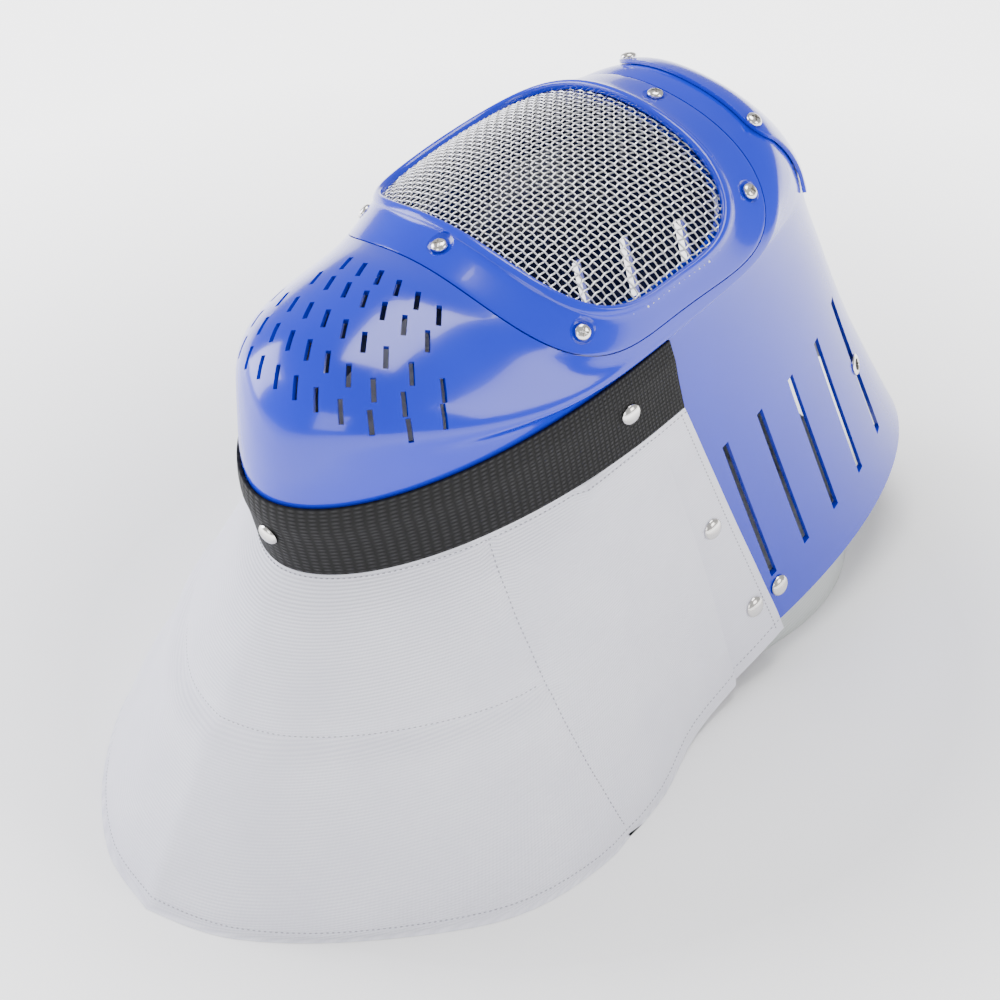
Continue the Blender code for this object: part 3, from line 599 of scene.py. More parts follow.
def ribbed_cloth_group(wrapped_place):
    """Ribbed cloth with soft mottling and fine fibre, and painted shade in the grooves between the ribs
    and threads.
    """
    inputs = {"Colour": "Color", "Shade": "Color", "Rib Scale": "Float", "Thread Scale": "Float"}
    group, into, out = new_group("ribbed_cloth", inputs, {"Colour": "Color", "Normal": "Vector"})
    place = node(group, "ShaderNodeGroup", node_tree=wrapped_place).outputs[0]
    ribs = waves(group, place, into["Rib Scale"], "Y")
    threads = ramp(group, waves(group, place, into["Thread Scale"], "X"), 0.0, 0.25)
    surface = math_node(group, "ADD", ribs, threads)
    spot = object_coordinates(group)
    # Random mottling, together with painted shade in the grooves between the ribs and threads, mixes the
    # colour towards the Shade colour.
    mottle_and_painted_rib_shade = math_node(group, "MULTIPLY", noise(group, spot, MOTTLE_SCALE), surface)
    group.links.new(mixed_colour(group, mottle_and_painted_rib_shade, into["Shade"], into["Colour"]), out["Colour"])
    fibre = bump(group, noise(group, spot, FIBRE_SCALE), FIBRE_DEPTH, 0.4)
    group.links.new(bump(group, surface, RIB_DEPTH, 0.7, fibre), out["Normal"])
    return group


def make_plastic(name, group, colour, deep):
    own = {"Coat_Weight": 0.35, "Coat_Roughness": 0.04, "Specular_IOR_Level": 0.45}
    effects = {"Colour": "Base Color", "Roughness": "Roughness", "Normal": "Normal"}
    return finished(name, group, effects, own, **{"Colour": (*colour, 1.0), "Deep Colour": (*deep, 1.0)})


def make_metal(name, group, colour, roughness, scale):
    effects = {"Colour": "Base Color", "Roughness": "Roughness", "Normal": "Normal"}
    sockets = {
        "Colour": (*colour, 1.0),
        "Dull Colour": (*(0.8 * part for part in colour), 1.0),
        "Scale": scale,
        "Smooth": 0.7 * roughness,
        "Rough": 1.3 * roughness,
    }
    return finished(name, group, effects, {"Metallic": 1.0}, **sockets)


def make_cloth(name, group, colour, shade, pitch):
    sockets = {
        "Colour": (*colour, 1.0),
        "Shade": (*shade, 1.0),
        "Rib Scale": WAVES_PER_UNIT / pitch,
        "Thread Scale": WAVES_PER_UNIT / (pitch * 0.6),
    }
    own = {"Roughness": 0.85, "Sheen_Weight": 0.2}
    return finished(name, group, {"Colour": "Base Color", "Normal": "Normal"}, own, **sockets)


def make_webbing(wrapped_place):
    """Coarse black webbing, with the thread tops in rows painted lighter as a painted highlight and the
    gaps between them painted darker as painted shade.
    """
    made, tree, shader = new_material("black_webbing", Roughness=0.75, Specular_IOR_Level=0.3)
    place = node(tree, "ShaderNodeGroup", node_tree=wrapped_place).outputs[0]
    across = waves(tree, place, WAVES_PER_UNIT / WEBBING_PITCH, "X")
    up = waves(tree, place, WAVES_PER_UNIT / (WEBBING_PITCH * 0.8), "Y")
    knot_relief_painted_light = math_node(tree, "MULTIPLY", across, up)
    # Painted highlight on the thread tops and painted shade in the gaps between them.
    colour = mixed_colour(tree, knot_relief_painted_light, (0.001, 0.001, 0.001, 1.0), (0.024, 0.024, 0.026, 1.0))
    tree.links.new(colour, shader.inputs["Base Color"])
    fuzz = bump(tree, noise(tree, object_coordinates(tree), FUZZ_SCALE), FUZZ_DEPTH, 0.5)
    tree.links.new(bump(tree, knot_relief_painted_light, KNOT_DEPTH, 1.0, fuzz), shader.inputs["Normal"])
    return made


def add_object(name, built, look, *nodes):
    """A finished piece from a bmesh in the mask's frame, which stands for these nodes."""
    bmesh.ops.transform(built, matrix=PLACE, verts=built.verts)
    bmesh.ops.recalc_face_normals(built, faces=built.faces)
    if any(edge.is_boundary for edge in built.edges):
        head = PLACE @ Vector((0, SEAM_MIDDLE, 0))
        facing = sum(
            face.calc_area() * face.normal.dot(face.calc_center_median() - head) for face in built.faces
        )
        if facing < 0:
            bmesh.ops.reverse_faces(built, faces=built.faces)
    mesh = bpy.data.meshes.new(name)
    built.to_mesh(mesh)
    built.free()
    if look:
        mesh.materials.append(look)
    made = bpy.data.objects.new(name, mesh)
    bpy.context.scene.collection.objects.link(made)
    if nodes:
        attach(made, "root")
        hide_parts(*nodes)
    return made


def settle(made, cutters=(), smooth_angle=35):
    """Cuts the cutters out, applies all modifiers and removes the collection that held the cutters."""
    if cutters:
        group = bpy.data.collections.new(made.name + "_cutters")
        for cutter in cutters:
            group.objects.link(cutter)
        modifier = made.modifiers.new("cuts", "BOOLEAN")
        modifier.operation = "DIFFERENCE"
        modifier.solver = "EXACT"
        modifier.operand_type = "COLLECTION"
        modifier.collection = group
    bpy.context.view_layer.update()
    solid = made.evaluated_get(bpy.context.evaluated_depsgraph_get())
    mesh = bpy.data.meshes.new_from_object(solid)
    made.modifiers.clear()
    made.data = mesh
    if cutters:
        bpy.data.collections.remove(group)
    mesh.shade_smooth()
    mesh.set_sharp_from_angle(angle=math.radians(smooth_angle))
    return made


def remove_all(things):
    for thing in things:
        bpy.data.objects.remove(thing, do_unlink=True)


def laid_grid(built, rows, closed=False):
    """A grid whose rows of vertices go to these points. A closed one comes round to its first column."""
    if closed:
        rows = [row + row[:1] for row in rows]
    made = bmesh.ops.create_grid(built, x_segments=len(rows[0]) - 1, y_segments=len(rows) - 1, size=1.0)
    for vertex, point in zip(made["verts"], (point for row in rows for point in row)):
        vertex.co = point
    bmesh.ops.remove_doubles(built, verts=built.verts, dist=1e-6)


def walled(made, thickness, offset=-1.0, even=True):
    """Gives an open sheet its wall, inwards from the modelled side or, with an offset of 1, outwards."""
    wall = made.modifiers.new("wall", "SOLIDIFY")
    wall.thickness = thickness
    wall.offset = offset
    wall.use_even_offset = even
    return made


def spun(built, points, edges):
    """Spins a section that starts half a side round, so that no corner lies in the middle plane."""
    half_side = Matrix.Rotation(HALF_TURN / ROUND_SIDES, 4, "Z")
    bmesh.ops.transform(built, matrix=half_side, verts=points)
    bmesh.ops.spin(
        built,
        geom=points + edges,
        axis=(0, 0, 1),
        cent=(0, 0, 0),
        dvec=(0, 0, 0),
        angle=2 * HALF_TURN,
        steps=ROUND_SIDES,
        use_merge=True,
    )
    bmesh.ops.remove_doubles(built, verts=built.verts, dist=1e-6)
    return built


def turned(profile):
    """A round solid from (radius, height) pairs that start and end on the axis."""
    built = bmesh.new()
    points = [built.verts.new((radius, 0, height)) for radius, height in profile]
    edges = [built.edges.new(pair) for pair in zip(points, points[1:])]
    return spun(built, points, edges)


def turned_ring(profile):
    """A round solid with a bore, from (radius, height) pairs that go once round its section."""
    built = bmesh.new()
    points = [built.verts.new((radius, 0, height)) for radius, height in profile]
    edges = [built.edges.new(pair) for pair in zip(points, points[1:] + points[:1])]
    return spun(built, points, edges)


def stand_on(built, point, normal):
    """Moves a thing that is modelled upright at the origin to a point, along a normal."""
    upright = normal.to_track_quat("Z", "Y").to_matrix().to_4x4()
    bmesh.ops.transform(built, matrix=Matrix.Translation(point) @ upright, verts=built.verts)
    return built


def hole(point, normal, radius=HOLE_RADIUS):
    """A round cutter that passes right through what lies under a point."""
    profile = ((0, HOLE_DEPTH), (radius, HOLE_DEPTH), (radius, -HOLE_DEPTH), (0, -HOLE_DEPTH))
    return stand_on(turned(profile), point, normal)


def bar(length, width, depth, point, along, normal):
    """A box cutter, centred on a point, long one way and deep along the normal."""
    across = normal.cross(along).normalized()
    along = across.cross(normal).normalized()
    built = bmesh.new()
    bmesh.ops.create_cube(built, size=1.0)
    turn = Matrix((across, along, normal)).transposed().to_4x4()
    scale = Matrix.Diagonal((width, length, depth, 1.0))
    bmesh.ops.transform(built, matrix=Matrix.Translation(point) @ turn @ scale, verts=built.verts)
    return built


def all_turns():
    return [COLUMN_TURN * i for i in range(COLUMNS)]


def side_turn(level, x):
    """The turn behind the widest point at which the shell's outline is x from the middle."""
    row = shell_row(level)
    return crossing(lambda turn: row_point(row, turn).x > x, 0.55 * HALF_TURN, HALF_TURN)


def wrapping_turns(end):
    """The shell's own turns from one side round the chin to the other, and the two ends."""
    last = int(end / COLUMN_TURN - 1e-6)
    return [-end] + [COLUMN_TURN * i for i in range(-last, last + 1)] + [end]


def hem_point(share):
    """A point of the hem, by its share of the way from the front to the flap's end. It runs a little
    below the floor, and what is below it is pressed flat there."""
    place = abs(share)
    shares = [row.share for row in HEM_ROWS]
    index = max(i for i in range(len(shares) - 1) if shares[i] <= place)
    spot = index + (place - shares[index]) / (shares[index + 1] - shares[index])
    x = smoothed([row.width for row in HEM_ROWS], spot) * BIB_HALF_WIDTH
    y = smoothed([row.reach for row in HEM_ROWS], spot) * BIB_REACH
    rise = smoothed([row.rise for row in HEM_ROWS], spot) * HEM_RISE
    return Vector((math.copysign(x, share), y, floor_height(y) + rise))


def bib_turns():
    """The turns of the bib's columns at its top: the shell's own, and closer ones along each flap."""
    quarter = HALF_TURN / 2
    end = turn_at(BIB_TUCK_LEVELS[-1], FLAP_TOP_END)
    flap = [quarter + (end - quarter) * i / FLAP_COLUMNS for i in range(1, FLAP_COLUMNS + 1)]
    front = [COLUMN_TURN * i for i in range(-(COLUMNS // 4), COLUMNS // 4 + 1)]
    return [-turn for turn in reversed(flap)] + front + flap


def bib_column(turn, share):
    """A column of the bib's inner face from its tucked edge to the hem. Behind the hood's front edge it
    lies on the hood."""
    column = [shell_point(level, turn, CLEARANCE) for level in BIB_TUCK_LEVELS]
    top, hem = column[-1], hem_point(share)
    outward = Vector((hem.x - top.x, hem.y - top.y, 0)).normalized()
    flap = abs(turn) > HALF_TURN / 2 + 1e-6
    for down in BIB_PROFILE:
        bulge = 0.0 if flap else BIB_BULGE * math.sin(HALF_TURN * down)
        point = top.lerp(hem, down) + outward * bulge
        wall = hood_half_width(point.y, max(point.z, 0.0)) + FLAP_GAP
        if flap or abs(turn) > 0.4 * HALF_TURN:
            point.x = math.copysign(wall if flap else max(wall, abs(point.x)), turn)
        column.append(point)
    return column


def front_turn(level, x):
    """The turn ahead of the widest point at which the shell's outline is x from the middle."""
    row = shell_row(level)
    return crossing(lambda turn: row_point(row, turn).x < x, 0.0, 0.49 * HALF_TURN)


def shell_column(turn):
    """The shell's table rows at one turn, from the frame's seam to the rim."""
    return [seam_point(turn)] + [row_point(row, turn) for row in SHELL_ROWS + HOOD_ROWS]


def fine_places(first, last, step):
    count = round((last - first) / step)
    return [first + (last - first) * i / count for i in range(count + 1)]


def screw_places():
    """The seat and the normal of every screw of the frame and the crown cap, by node."""
    places = {}
    for name, (x, y) in FRAME_SCREWS.items():
        turn, across = frame_place(x, y)
        seat = frame_point(turn, across, SCREW_SEAT_SHARE * LIP_HEIGHT)
        places[f"frame_screw_{name}"] = (seat, frame_normal(turn))
    for side, name in ((1, "left"), (-1, "right")):
        turn = side * side_turn(CROWN_SCREW_LEVEL, CROWN_SCREW_X)
        seat = shell_point(CROWN_SCREW_LEVEL, turn, CAP_GAP + CAP_THICKNESS)
        places[f"crown_screw_{name}"] = (seat, shell_normal(CROWN_SCREW_LEVEL, turn))
    return places


def rivet_places():
    """The foot and the normal of every rivet's cap, by node."""
    places = {}
    stack = 2 * CLEARANCE + BIB_THICKNESS + STRAP_THICKNESS
    aside = turn_at(STRAP_RIVET_LEVEL, STRAP_RIVET_Y)
    for name, turn in (("chin", 0.0), ("left", aside), ("right", -aside)):
        foot = shell_point(STRAP_RIVET_LEVEL, turn, stack)
        places[f"strap_rivet_{name}"] = (foot, shell_normal(STRAP_RIVET_LEVEL, turn))
    on_bib = FLAP_GAP + BIB_THICKNESS
    kinds = [(f"bib_rivet_{name}", place, on_bib) for name, place in BIB_RIVETS.items()]
    for kind, place, off in kinds + [("band_rivet", BAND_RIVET, 0.0)]:
        level, turn = hood_place(*place)
        for side, name in ((1, "left"), (-1, "right")):
            foot = shell_point(level, side * turn, off)
            places[f"{kind}_{name}"] = (foot, shell_normal(level, side * turn))
    return places


def eyelet_places():
    level, turn = hood_place(*EYELET_PLACE)
    places = {}
    for side, name in ((1, "left"), (-1, "right")):
        foot = shell_point(level, side * turn, CLEARANCE)
        places[f"side_eyelet_{name}"] = (foot, shell_normal(level, side * turn))
    return places


def vent_cutters():
    made = []
    for row in VENT_ROWS:
        place = row.first
        while place <= row.last:
            for side in (1, -1) if place else (1,):
                turn = side * front_turn(row.level, place * VENT_SPACING)
                spot = shell_point(row.level, turn)
                normal = shell_normal(row.level, turn)
                aside = VENT_LEAN + VENT_FAN * spot.x
                down = Vector((aside, -1, -(normal.x * aside - normal.y) / normal.z))
                slit = bar(VENT_LENGTH, VENT_WIDTH, VENT_DEPTH, spot, down, normal)
                made.append(add_object("vent", slit, None))
            place += 1.0
    return made


def slot_cutters():
    along = Vector((0, math.sin(SLOT_LEAN), -math.cos(SLOT_LEAN)))
    made = []
    for number in range(SLOT_COUNT):
        y = SLOT_START + SLOT_SPACING * number
        for side in (1, -1):
            spot = Vector((side * hood_half_width(y, SLOT_MIDDLE_HEIGHT), y, SLOT_MIDDLE_HEIGHT))
            slit = bar(SLOT_LENGTH, SLOT_WIDTH, SLOT_DEPTH, spot, along, Vector((side, 0, 0)))
            made.append(add_object("slot", slit, None))
    return made


def make_shell(look, painted_shade_inner_look, eyelets):
    """The moulded shell: the ledge under the frame, the chin dome, and the hood behind the strap."""
    turns = all_turns()
    under = -(FRAME_WALL + 2 * CLEARANCE)
    rows = [[frame_point(turn, across, under) for turn in turns] for across in (LEDGE_START, 0.97, 1.0)]
    columns = [shell_column(turn) for turn in turns]
    chin_end = float(len(SHELL_ROWS))
    places = fine_places(0.0, chin_end - 1, 0.2) + [chin_end]
    rows += [[smoothed(column, place) for column in columns] for place in places]
    built = bmesh.new()
    laid_grid(built, rows, closed=True)
    quarter = COLUMNS // 4
    behind = columns[quarter : COLUMNS - quarter + 1]
    places = fine_places(chin_end, chin_end + len(HOOD_ROWS), 0.34)
    laid_grid(built, [[smoothed(column, place) for column in behind] for place in places])
    shell = add_object("moulded_shell", built, look, "shell")
    shell.data.materials.append(painted_shade_inner_look)
    # The inner faces take a much darker blue, painted shade for the hollow inside the shell.
    walled(shell, SHELL_WALL, even=False).modifiers["wall"].material_offset = 1
    cutters = vent_cutters() + slot_cutters()
    bore = EYELET_TUBE + CLEARANCE
    cutters += [add_object("eyelet_hole", hole(*place, bore), None) for place in eyelets]
    settle(shell, cutters)
    remove_all(cutters)


def make_frame(look, screws):
    """The window's frame, with a round lip and a dish under each screw."""
    across = [row.across for row in FRAME_ROWS]
    lift = [row.lift for row in FRAME_ROWS]
    rows = []
    for place in fine_places(0.0, len(FRAME_ROWS) - 1.0, 0.25):
        rows.append((min(smoothed(across, place), 1.0), smoothed(lift, place) * LIP_HEIGHT))
    rows += [(row.across, -row.lift * FRAME_WALL) for row in FRAME_UNDER_ROWS]
    rows.append(rows[0])
    built = bmesh.new()
    points = [[frame_point(t, share * frame_reach(t), up) for t in all_turns()] for share, up in rows]
    laid_grid(built, points, closed=True)
    ring = add_object("lipped_frame", built, look, "window_frame")
    dish = (
        (0, HOLE_DEPTH),
        (1.25 * SCREW_DISH_RADIUS, HOLE_DEPTH),
        (1.18 * SCREW_DISH_RADIUS, LIP_HEIGHT * 0.30),
        (SCREW_DISH_RADIUS, LIP_HEIGHT * 0.08),
        (0.85 * SCREW_DISH_RADIUS, -0.0003),
        (0, -0.0003),
    )
    cutters = [add_object("dish", stand_on(turned(dish), *place), None) for place in screws]
    settle(ring, cutters)
    remove_all(cutters)


def window_span(offset, half_size, half_other):
    """Half the length of a wire that crosses the window this far from its middle."""
    square = WINDOW_SQUARENESS
    left = WIRE_REACH**square - abs(offset / half_size) ** square
    return half_other * max(left, 0.0) ** (1 / square)


def make_wires(look):
    """The plain woven wires of the face, each going over and under the ones it crosses."""
    curve = bpy.data.curves.new("woven_wires", "CURVE")
    curve.dimensions = "3D"
    curve.bevel_depth = WIRE_RADIUS
    curve.bevel_resolution = 1
    curve.materials.append(look)
    middle = WINDOW_BASE + WINDOW_HEIGHT / 2
    sunk = FRAME_WALL - MESH_THICKNESS / 2
    halves = (WINDOW_HALF_WIDTH, WINDOW_HEIGHT / 2)
    for along in (0, 1):
        count = int(halves[1 - along] * WIRE_REACH / WIRE_PITCH)
        for number in range(-count, count + 1):
            offset = number * WIRE_PITCH
            span = window_span(offset, halves[1 - along], halves[along])
            steps = int(span / (WIRE_PITCH / 2))
            if steps < 2:
                continue
            line = curve.splines.new("POLY")
            line.points.add(2 * steps)
            for i in range(-steps, steps + 1):
                run = i * WIRE_PITCH / 2
                x, y = (run, middle + offset) if along == 0 else (offset, middle + run)
                wave = math.cos(HALF_TURN * i / 2) * (1 if (number + along) % 2 else -1)
                point = PLACE @ Vector((x, y, face_height(x, y) - sunk + wave * WIRE_RADIUS))
                line.points[i + steps].co = (*point, 1.0)
    made = bpy.data.objects.new("woven_wires", curve)
    bpy.context.scene.collection.objects.link(made)
    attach(made, "root")
    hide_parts("wire_mesh")


def make_crown_cap(look):
    """The thin plate over the crown, with rounded front corners."""
    front = shell_point(CAP_LEVELS[0], HALF_TURN)
    rows = []
    for place in fine_places(0.0, len(CAP_LEVELS) - 1.0, 0.125):
        level = smoothed(CAP_LEVELS, place)
        run = (shell_point(level, HALF_TURN) - front).length
        short = max(CAP_CORNER - run, 0.0)
        half_width = CAP_HALF_WIDTH - CAP_CORNER + math.sqrt(CAP_CORNER**2 - short**2)
        edge = HALF_TURN - side_turn(level, half_width)
        steps = range(-CAP_COLUMNS, CAP_COLUMNS + 1)
        rows.append([shell_point(level, HALF_TURN + edge * i / CAP_COLUMNS, CAP_GAP) for i in steps])
    built = bmesh.new()
    laid_grid(built, rows)
    cap = add_object("crown_plate", built, look, "crown_cap")
    walled(cap, CAP_THICKNESS, offset=1.0)
    rounded(cap, 0.0006)
    settle(cap)


def rounded(made, width, segments=2):
    edge = made.modifiers.new("edges", "BEVEL")
    edge.width = width
    edge.segments = segments
    edge.limit_method = "ANGLE"
    edge.angle_limit = math.radians(50)


def make_strap(look):
    """The webbing band, standing off the shell by the bib's thickness where it lies over the bib."""
    turns = wrapping_turns(turn_at(STRAP_ROWS[0].level, STRAP_END))
    over_bib = BIB_THICKNESS + CLEARANCE
    levels = [row.level for row in STRAP_ROWS]
    covers = [row.over_bib for row in STRAP_ROWS]
    rows = []
    for place in fine_places(0.0, len(STRAP_ROWS) - 1.0, 0.2):
        off = CLEARANCE + min(max(smoothed(covers, place), 0.0), 1.0) * over_bib
        rows.append([shell_point(smoothed(levels, place), turn, off) for turn in turns])
    built = bmesh.new()
    laid_grid(built, rows)
    strap = add_object("webbing_strap", built, look, "chin_strap")
    walled(strap, STRAP_THICKNESS, offset=1.0)
    rounded(strap, 0.0005)
    settle(strap)


def seam_dent(distance, width):
    """A narrow dent beside a row of stitches, from 1 on the seam to 0."""
    return math.exp(-((distance / width) ** 2))


def bib_lift(share, down):
    """How far the padding stands off the plain bib, with its seams drawn in and soft creases."""
    edge = min(down, 1 - down) / EDGE_TAPER
    lift = PUFF * min(edge, 1.0)
    lift += BROAD_WAVE * math.sin(11 * share + 7 * down) * math.sin(9 * down)
    lift += LOW_CREASE * math.sin(26 * (share * 0.6 + down)) * max(down - SEAM_DOWN, 0)
    panel = PANEL_SHARE + PANEL_DRIFT * down
    if abs(share) < panel:
        lift -= SEAM_DENT * seam_dent(down - SEAM_DOWN, 0.025)
        if down > SEAM_DOWN:
            lift += STEP_PUFF * seam_dent(down - SEAM_DOWN - 0.07, 0.05)
    lift -= SEAM_DENT * seam_dent(abs(share) - panel, 0.014)
    return lift - 0.6 * SEAM_DENT * seam_dent(1 - down - 0.03, 0.02)


def fine_bib_columns():
    """The bib's inner face as columns from its tucked edge to the hem, and each column's share."""
    turns = bib_turns()
    edge = [shell_point(BIB_TUCK_LEVELS[-1], turn) for turn in turns]
    runs = [0.0]
    for before, after in zip(edge, edge[1:]):
        runs.append(runs[-1] + (after - before).length)
    shares = [2 * run / runs[-1] - 1 for run in runs]
    columns = []
    tucked = len(BIB_TUCK_LEVELS)
    for turn, share in zip(turns, shares):
        column = bib_column(turn, share)
        top, hem = column[tucked - 1], column[-1]
        outward = Vector((hem.x - top.x, hem.y - top.y, 0.25 * (top - hem).length)).normalized()
        soft = 1.0 if abs(turn) < HALF_TURN / 2 else 0.15
        for i, down in enumerate(BIB_PROFILE):
            column[tucked + i] = column[tucked + i] + outward * bib_lift(share, down) * soft
        columns.append(column)
    return columns, shares


def make_bib(look):
    columns, shares = fine_bib_columns()
    built = bmesh.new()
    laid_grid(built, columns)
    bib = add_object("padded_bib", built, look, "bib")
    walled(bib, BIB_THICKNESS, offset=1.0)
    settle(bib)
    for point in bib.data.vertices:
        point.co.z = max(point.co.z, 0.0)
    return columns, shares


def outer_point(columns, i, j):
    """A point of the bib's outer face over one of its inner face, and the normal there."""
    low, high = max(i - 1, 0), min(i + 1, len(columns) - 1)
    across = columns[high][j] - columns[low][j]
    down = columns[i][j + 1] - columns[i][j - 1]
    normal = down.cross(across).normalized()
    if normal.dot(columns[i][j] - Vector((0, SEAM_MIDDLE, 0))) < 0:
        normal = -normal
    return columns[i][j] + normal * BIB_THICKNESS, normal


def walk(path, spacing):
    """Places at even steps along a path of points and normals, each with its direction and normal."""
    left = 0.0
    for (start, normal), (end, _) in zip(path, path[1:]):
        length = (end - start).length
        while left < length:
            yield start.lerp(end, left / length), (end - start).normalized(), normal
            left += spacing
        left -= length


def make_stitches(look, columns, shares):
    """Each stitch along the bib's seams, hem, edges and top."""
    tucked = len(BIB_TUCK_LEVELS)
    whole = range(len(columns))
    hem = len(columns[0]) - 1
    seam = tucked + min(range(len(BIB_PROFILE)), key=lambda i: abs(BIB_PROFILE[i] - SEAM_DOWN))
    seam_end = PANEL_SHARE + PANEL_DRIFT * SEAM_DOWN
    paths = [[outer_point(columns, i, seam) for i in whole if abs(shares[i]) < seam_end]]
    paths.append([outer_point(columns, i, hem - 2) for i in whole])
    paths.append([outer_point(columns, i, tucked) for i in whole])
    for side in (-1, 1):
        path = []
        for j in range(tucked, hem - 2):
            share = side * (PANEL_SHARE + PANEL_DRIFT * BIB_PROFILE[j - tucked])
            i = max(k for k in whole if shares[k] <= share)
            between = (share - shares[i]) / (shares[i + 1] - shares[i])
            (near, normal), (far, _) = outer_point(columns, i, j), outer_point(columns, i + 1, j)
            path.append((near.lerp(far, between), normal))
        paths.append(path)
    for i in (2, len(columns) - 3):
        paths.append([outer_point(columns, i, j) for j in range(tucked, hem)])
    built = bmesh.new()
    for path in paths:
        for spot, along, normal in walk(path, STITCH_SPACING):
            outward = (normal - along * normal.dot(along)).normalized()
            turn = Matrix((along, outward.cross(along), outward)).transposed().to_4x4()
            size = Matrix.Diagonal((STITCH_LENGTH / 2, STITCH_RADIUS, STITCH_RADIUS, 1.0))
            place = Matrix.Translation(spot) @ turn @ size
            bmesh.ops.create_icosphere(built, subdivisions=1, radius=1.0, matrix=place)
    made = add_object("bib_stitches", built, look)
    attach(made, "root")
    made.data.shade_smooth()


def make_head_band(look):
    """The pale band behind the head, inside the rim."""
    inset = SHELL_WALL + BAND_GAP
    half_width = hood_half_width(BAND_MIDDLE, floor_height(BAND_MIDDLE) + BAND_WIDTH) - inset
    plan = [(-half_width, BAND_START)]
    for i in range(BAND_COLUMNS + 1):
        turn = HALF_TURN * (i / BAND_COLUMNS - 0.5)
        y = BAND_MIDDLE + (BAND_REACH - BAND_MIDDLE) * math.cos(turn)
        plan.append((half_width * math.sin(turn), y))
    plan.append((half_width, BAND_START))
    rows = []
    for i in range(13):
        rise = BAND_WIDTH * i / 12
        bow = BAND_BOW * math.sin(HALF_TURN * i / 12)
        narrowed = 1 - bow / half_width
        rows.append([Vector((x * narrowed, y - bow, floor_height(y) + rise)) for x, y in plan])
    built = bmesh.new()
    laid_grid(built, rows)
    band = add_object("elastic_band", built, look, "head_band")
    walled(band, BAND_THICKNESS)
    rounded(band, 0.0004)
    settle(band)
    for point in band.data.vertices:
        point.co.z = max(point.co.z, 0.0)


def make_rivets(look):
    cap = (
        (0.0, RIVET_HEIGHT),
        (0.30 * RIVET_RADIUS, 0.965 * RIVET_HEIGHT),
        (0.58 * RIVET_RADIUS, 0.85 * RIVET_HEIGHT),
        (0.82 * RIVET_RADIUS, 0.62 * RIVET_HEIGHT),
        (0.96 * RIVET_RADIUS, 0.34 * RIVET_HEIGHT),
        (RIVET_RADIUS, 0.12 * RIVET_HEIGHT),
        (0.97 * RIVET_RADIUS, 0.0),
        (RIVET_STEM_RADIUS, 0.0),
        (RIVET_STEM_RADIUS, -BIB_THICKNESS),
        (0.0, -BIB_THICKNESS),
    )
    for name, (foot, normal) in rivet_places().items():
        built = stand_on(turned(cap), foot + normal * CLEARANCE, normal)
        settle(add_object(name + "_cap", built, look, name))


def make_screws(look, places):
    """Pan head screws with a cross recess."""
    head = (
        (0.0, SCREW_HEIGHT),
        (0.45 * SCREW_RADIUS, 0.95 * SCREW_HEIGHT),
        (0.78 * SCREW_RADIUS, 0.76 * SCREW_HEIGHT),
        (0.95 * SCREW_RADIUS, 0.48 * SCREW_HEIGHT),
        (SCREW_RADIUS, 0.15 * SCREW_HEIGHT),
        (0.97 * SCREW_RADIUS, 0.0),
        (SCREW_SHANK_RADIUS, 0.0),
        (SCREW_SHANK_RADIUS, -BIB_THICKNESS),
        (0.0, -BIB_THICKNESS),
    )
    for name, (seat, normal) in places.items():
        built = stand_on(turned(head), seat + normal * CLEARANCE, normal)
        made = add_object(name + "_head", built, look, name)
        top = seat + normal * SCREW_HEIGHT
        aside = normal.orthogonal().normalized()
        other = normal.cross(aside)
        cutters = []
        for along in (aside, other):
            slit = bar(RECESS_LENGTH, RECESS_WIDTH, RECESS_DEPTH, top, along, normal)
            cutters.append(add_object("recess", slit, None))
        settle(made, cutters)
        remove_all(cutters)


def make_eyelets(look):
    through = SHELL_WALL + 3 * CLEARANCE
    section = (
        (EYELET_BORE, EYELET_FLANGE * 0.6),
        (0.62 * EYELET_RADIUS, EYELET_FLANGE),
        (0.85 * EYELET_RADIUS, EYELET_FLANGE * 0.85),
        (EYELET_RADIUS, EYELET_FLANGE * 0.3),
        (EYELET_RADIUS, 0),
        (EYELET_TUBE, 0),
        (EYELET_TUBE, -through),
        (EYELET_RADIUS, -through),
        (EYELET_RADIUS, -through - EYELET_FLANGE / 2),
        (EYELET_BORE, -through - EYELET_FLANGE),
    )
    for name, place in eyelet_places().items():
        settle(add_object(name + "_ring", stand_on(turned_ring(section), *place), look, name))


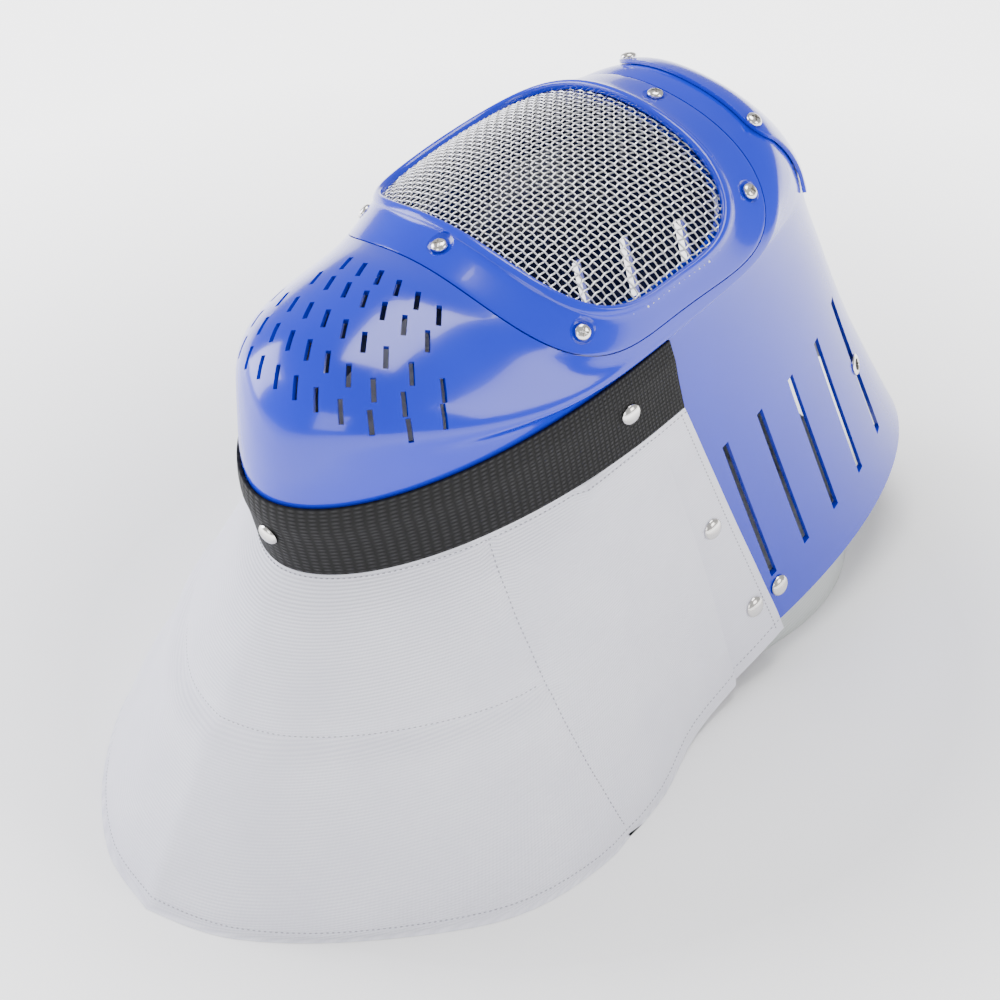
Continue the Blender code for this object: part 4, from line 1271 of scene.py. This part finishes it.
def make_stage():
    """The white ground, the lights and the camera. The ground's emission is a painted glow, dimmed near
    the mask as a painted soft shadow.
    """
    built = bmesh.new()
    bmesh.ops.create_grid(built, x_segments=2, y_segments=2, size=6.0)
    mesh = bpy.data.meshes.new("ground")
    built.to_mesh(mesh)
    built.free()
    ground = bpy.data.objects.new("ground", mesh)
    bpy.context.scene.collection.objects.link(ground)
    ground.location.z = -0.0002
    made, tree, shader = new_material("white_ground_painted_glow_and_shadow", Roughness=0.9, Specular_IOR_Level=0.1)
    shader.inputs["Base Color"].default_value = (0.97, 0.97, 0.97, 1.0)
    shader.inputs["Emission Color"].default_value = (1.0, 1.0, 1.0, 1.0)
    # Painted glow on the ground, rising with distance from the mask, so that it stays dark near the mask
    # as a painted soft shadow.
    away = node(tree, "ShaderNodeVectorMath", {0: object_coordinates(tree)}, operation="LENGTH")
    inputs = {0: away.outputs["Value"], 1: PAINTED_SHADOW_RADIUS, 2: PAINTED_SHADOW_FADE_RADIUS, 3: 0.0, 4: GROUND_PAINTED_GLOW}
    painted_glow_and_shadow = node(tree, "ShaderNodeMapRange", inputs)
    tree.links.new(painted_glow_and_shadow.outputs[0], shader.inputs["Emission Strength"])
    mesh.materials.append(made)
    world = bpy.data.worlds.new("studio")
    bpy.context.scene.world = world
    world.use_nodes = True
    world.node_tree.nodes["Background"].inputs[0].default_value = (1, 1, 1, 1)
    world.node_tree.nodes["Background"].inputs[1].default_value = WORLD_STRENGTH
    for name, place, size, power, colour in LIGHTS:
        light = bpy.data.lights.new(name, "AREA")
        light.size = size
        light.energy = power
        light.color = colour
        lamp = bpy.data.objects.new(name, light)
        lamp.location = place
        lamp.rotation_euler = (Vector((0, 0, 0.12)) - Vector(place)).to_track_quat("-Z", "Y").to_euler()
        bpy.context.scene.collection.objects.link(lamp)
    camera = bpy.data.cameras.new("camera")
    camera.lens = CAMERA_LENS
    camera.sensor_width = 36.0
    seen = bpy.data.objects.new("camera", camera)
    seen.location = CAMERA_PLACE + Vector((0, SHIFT, 0))
    seen.rotation_euler = CAMERA_TURN
    bpy.context.scene.collection.objects.link(seen)
    bpy.context.scene.camera = seen


def main():
    make_stage()
    moulded = moulded_plastic_group()
    plastic = make_plastic("blue_plastic", moulded, (0.001, 0.019, 0.60), (0.001, 0.013, 0.50))
    # The same blue plastic, darkened as painted shade for the inside of the shell.
    inner = make_plastic("inner_plastic_painted_shade", moulded, (0.001, 0.010, 0.12), (0.001, 0.006, 0.07))
    grain = metal_grain_group()
    wire = make_metal("steel_wire", grain, (0.82, 0.82, 0.84), 0.28, 700.0)
    nickel = make_metal("nickel", grain, (0.80, 0.78, 0.75), 0.2, 250.0)
    wrapped = wrapped_place_group()
    webbing = make_webbing(wrapped)
    ribbed = ribbed_cloth_group(wrapped)
    cloth = make_cloth("white_cloth", ribbed, (0.90, 0.90, 0.97), (0.70, 0.70, 0.80), RIB_PITCH)
    elastic = make_cloth("pale_elastic", ribbed, (0.62, 0.65, 0.64), (0.48, 0.51, 0.50), 1.4 * RIB_PITCH)
    thread = new_material("thread", Roughness=0.8, Base_Color=(0.36, 0.36, 0.42, 1.0))[0]

    screws = screw_places()
    frame_screws = [place for name, place in screws.items() if name.startswith("frame")]
    make_shell(plastic, inner, list(eyelet_places().values()))
    make_frame(plastic, frame_screws)
    make_crown_cap(plastic)
    make_wires(wire)
    make_strap(webbing)
    columns, shares = make_bib(cloth)
    make_stitches(thread, columns, shares)
    make_head_band(elastic)
    make_rivets(nickel)
    make_screws(nickel, screws)
    make_eyelets(nickel)


main()
bpy.context.view_layer.update()
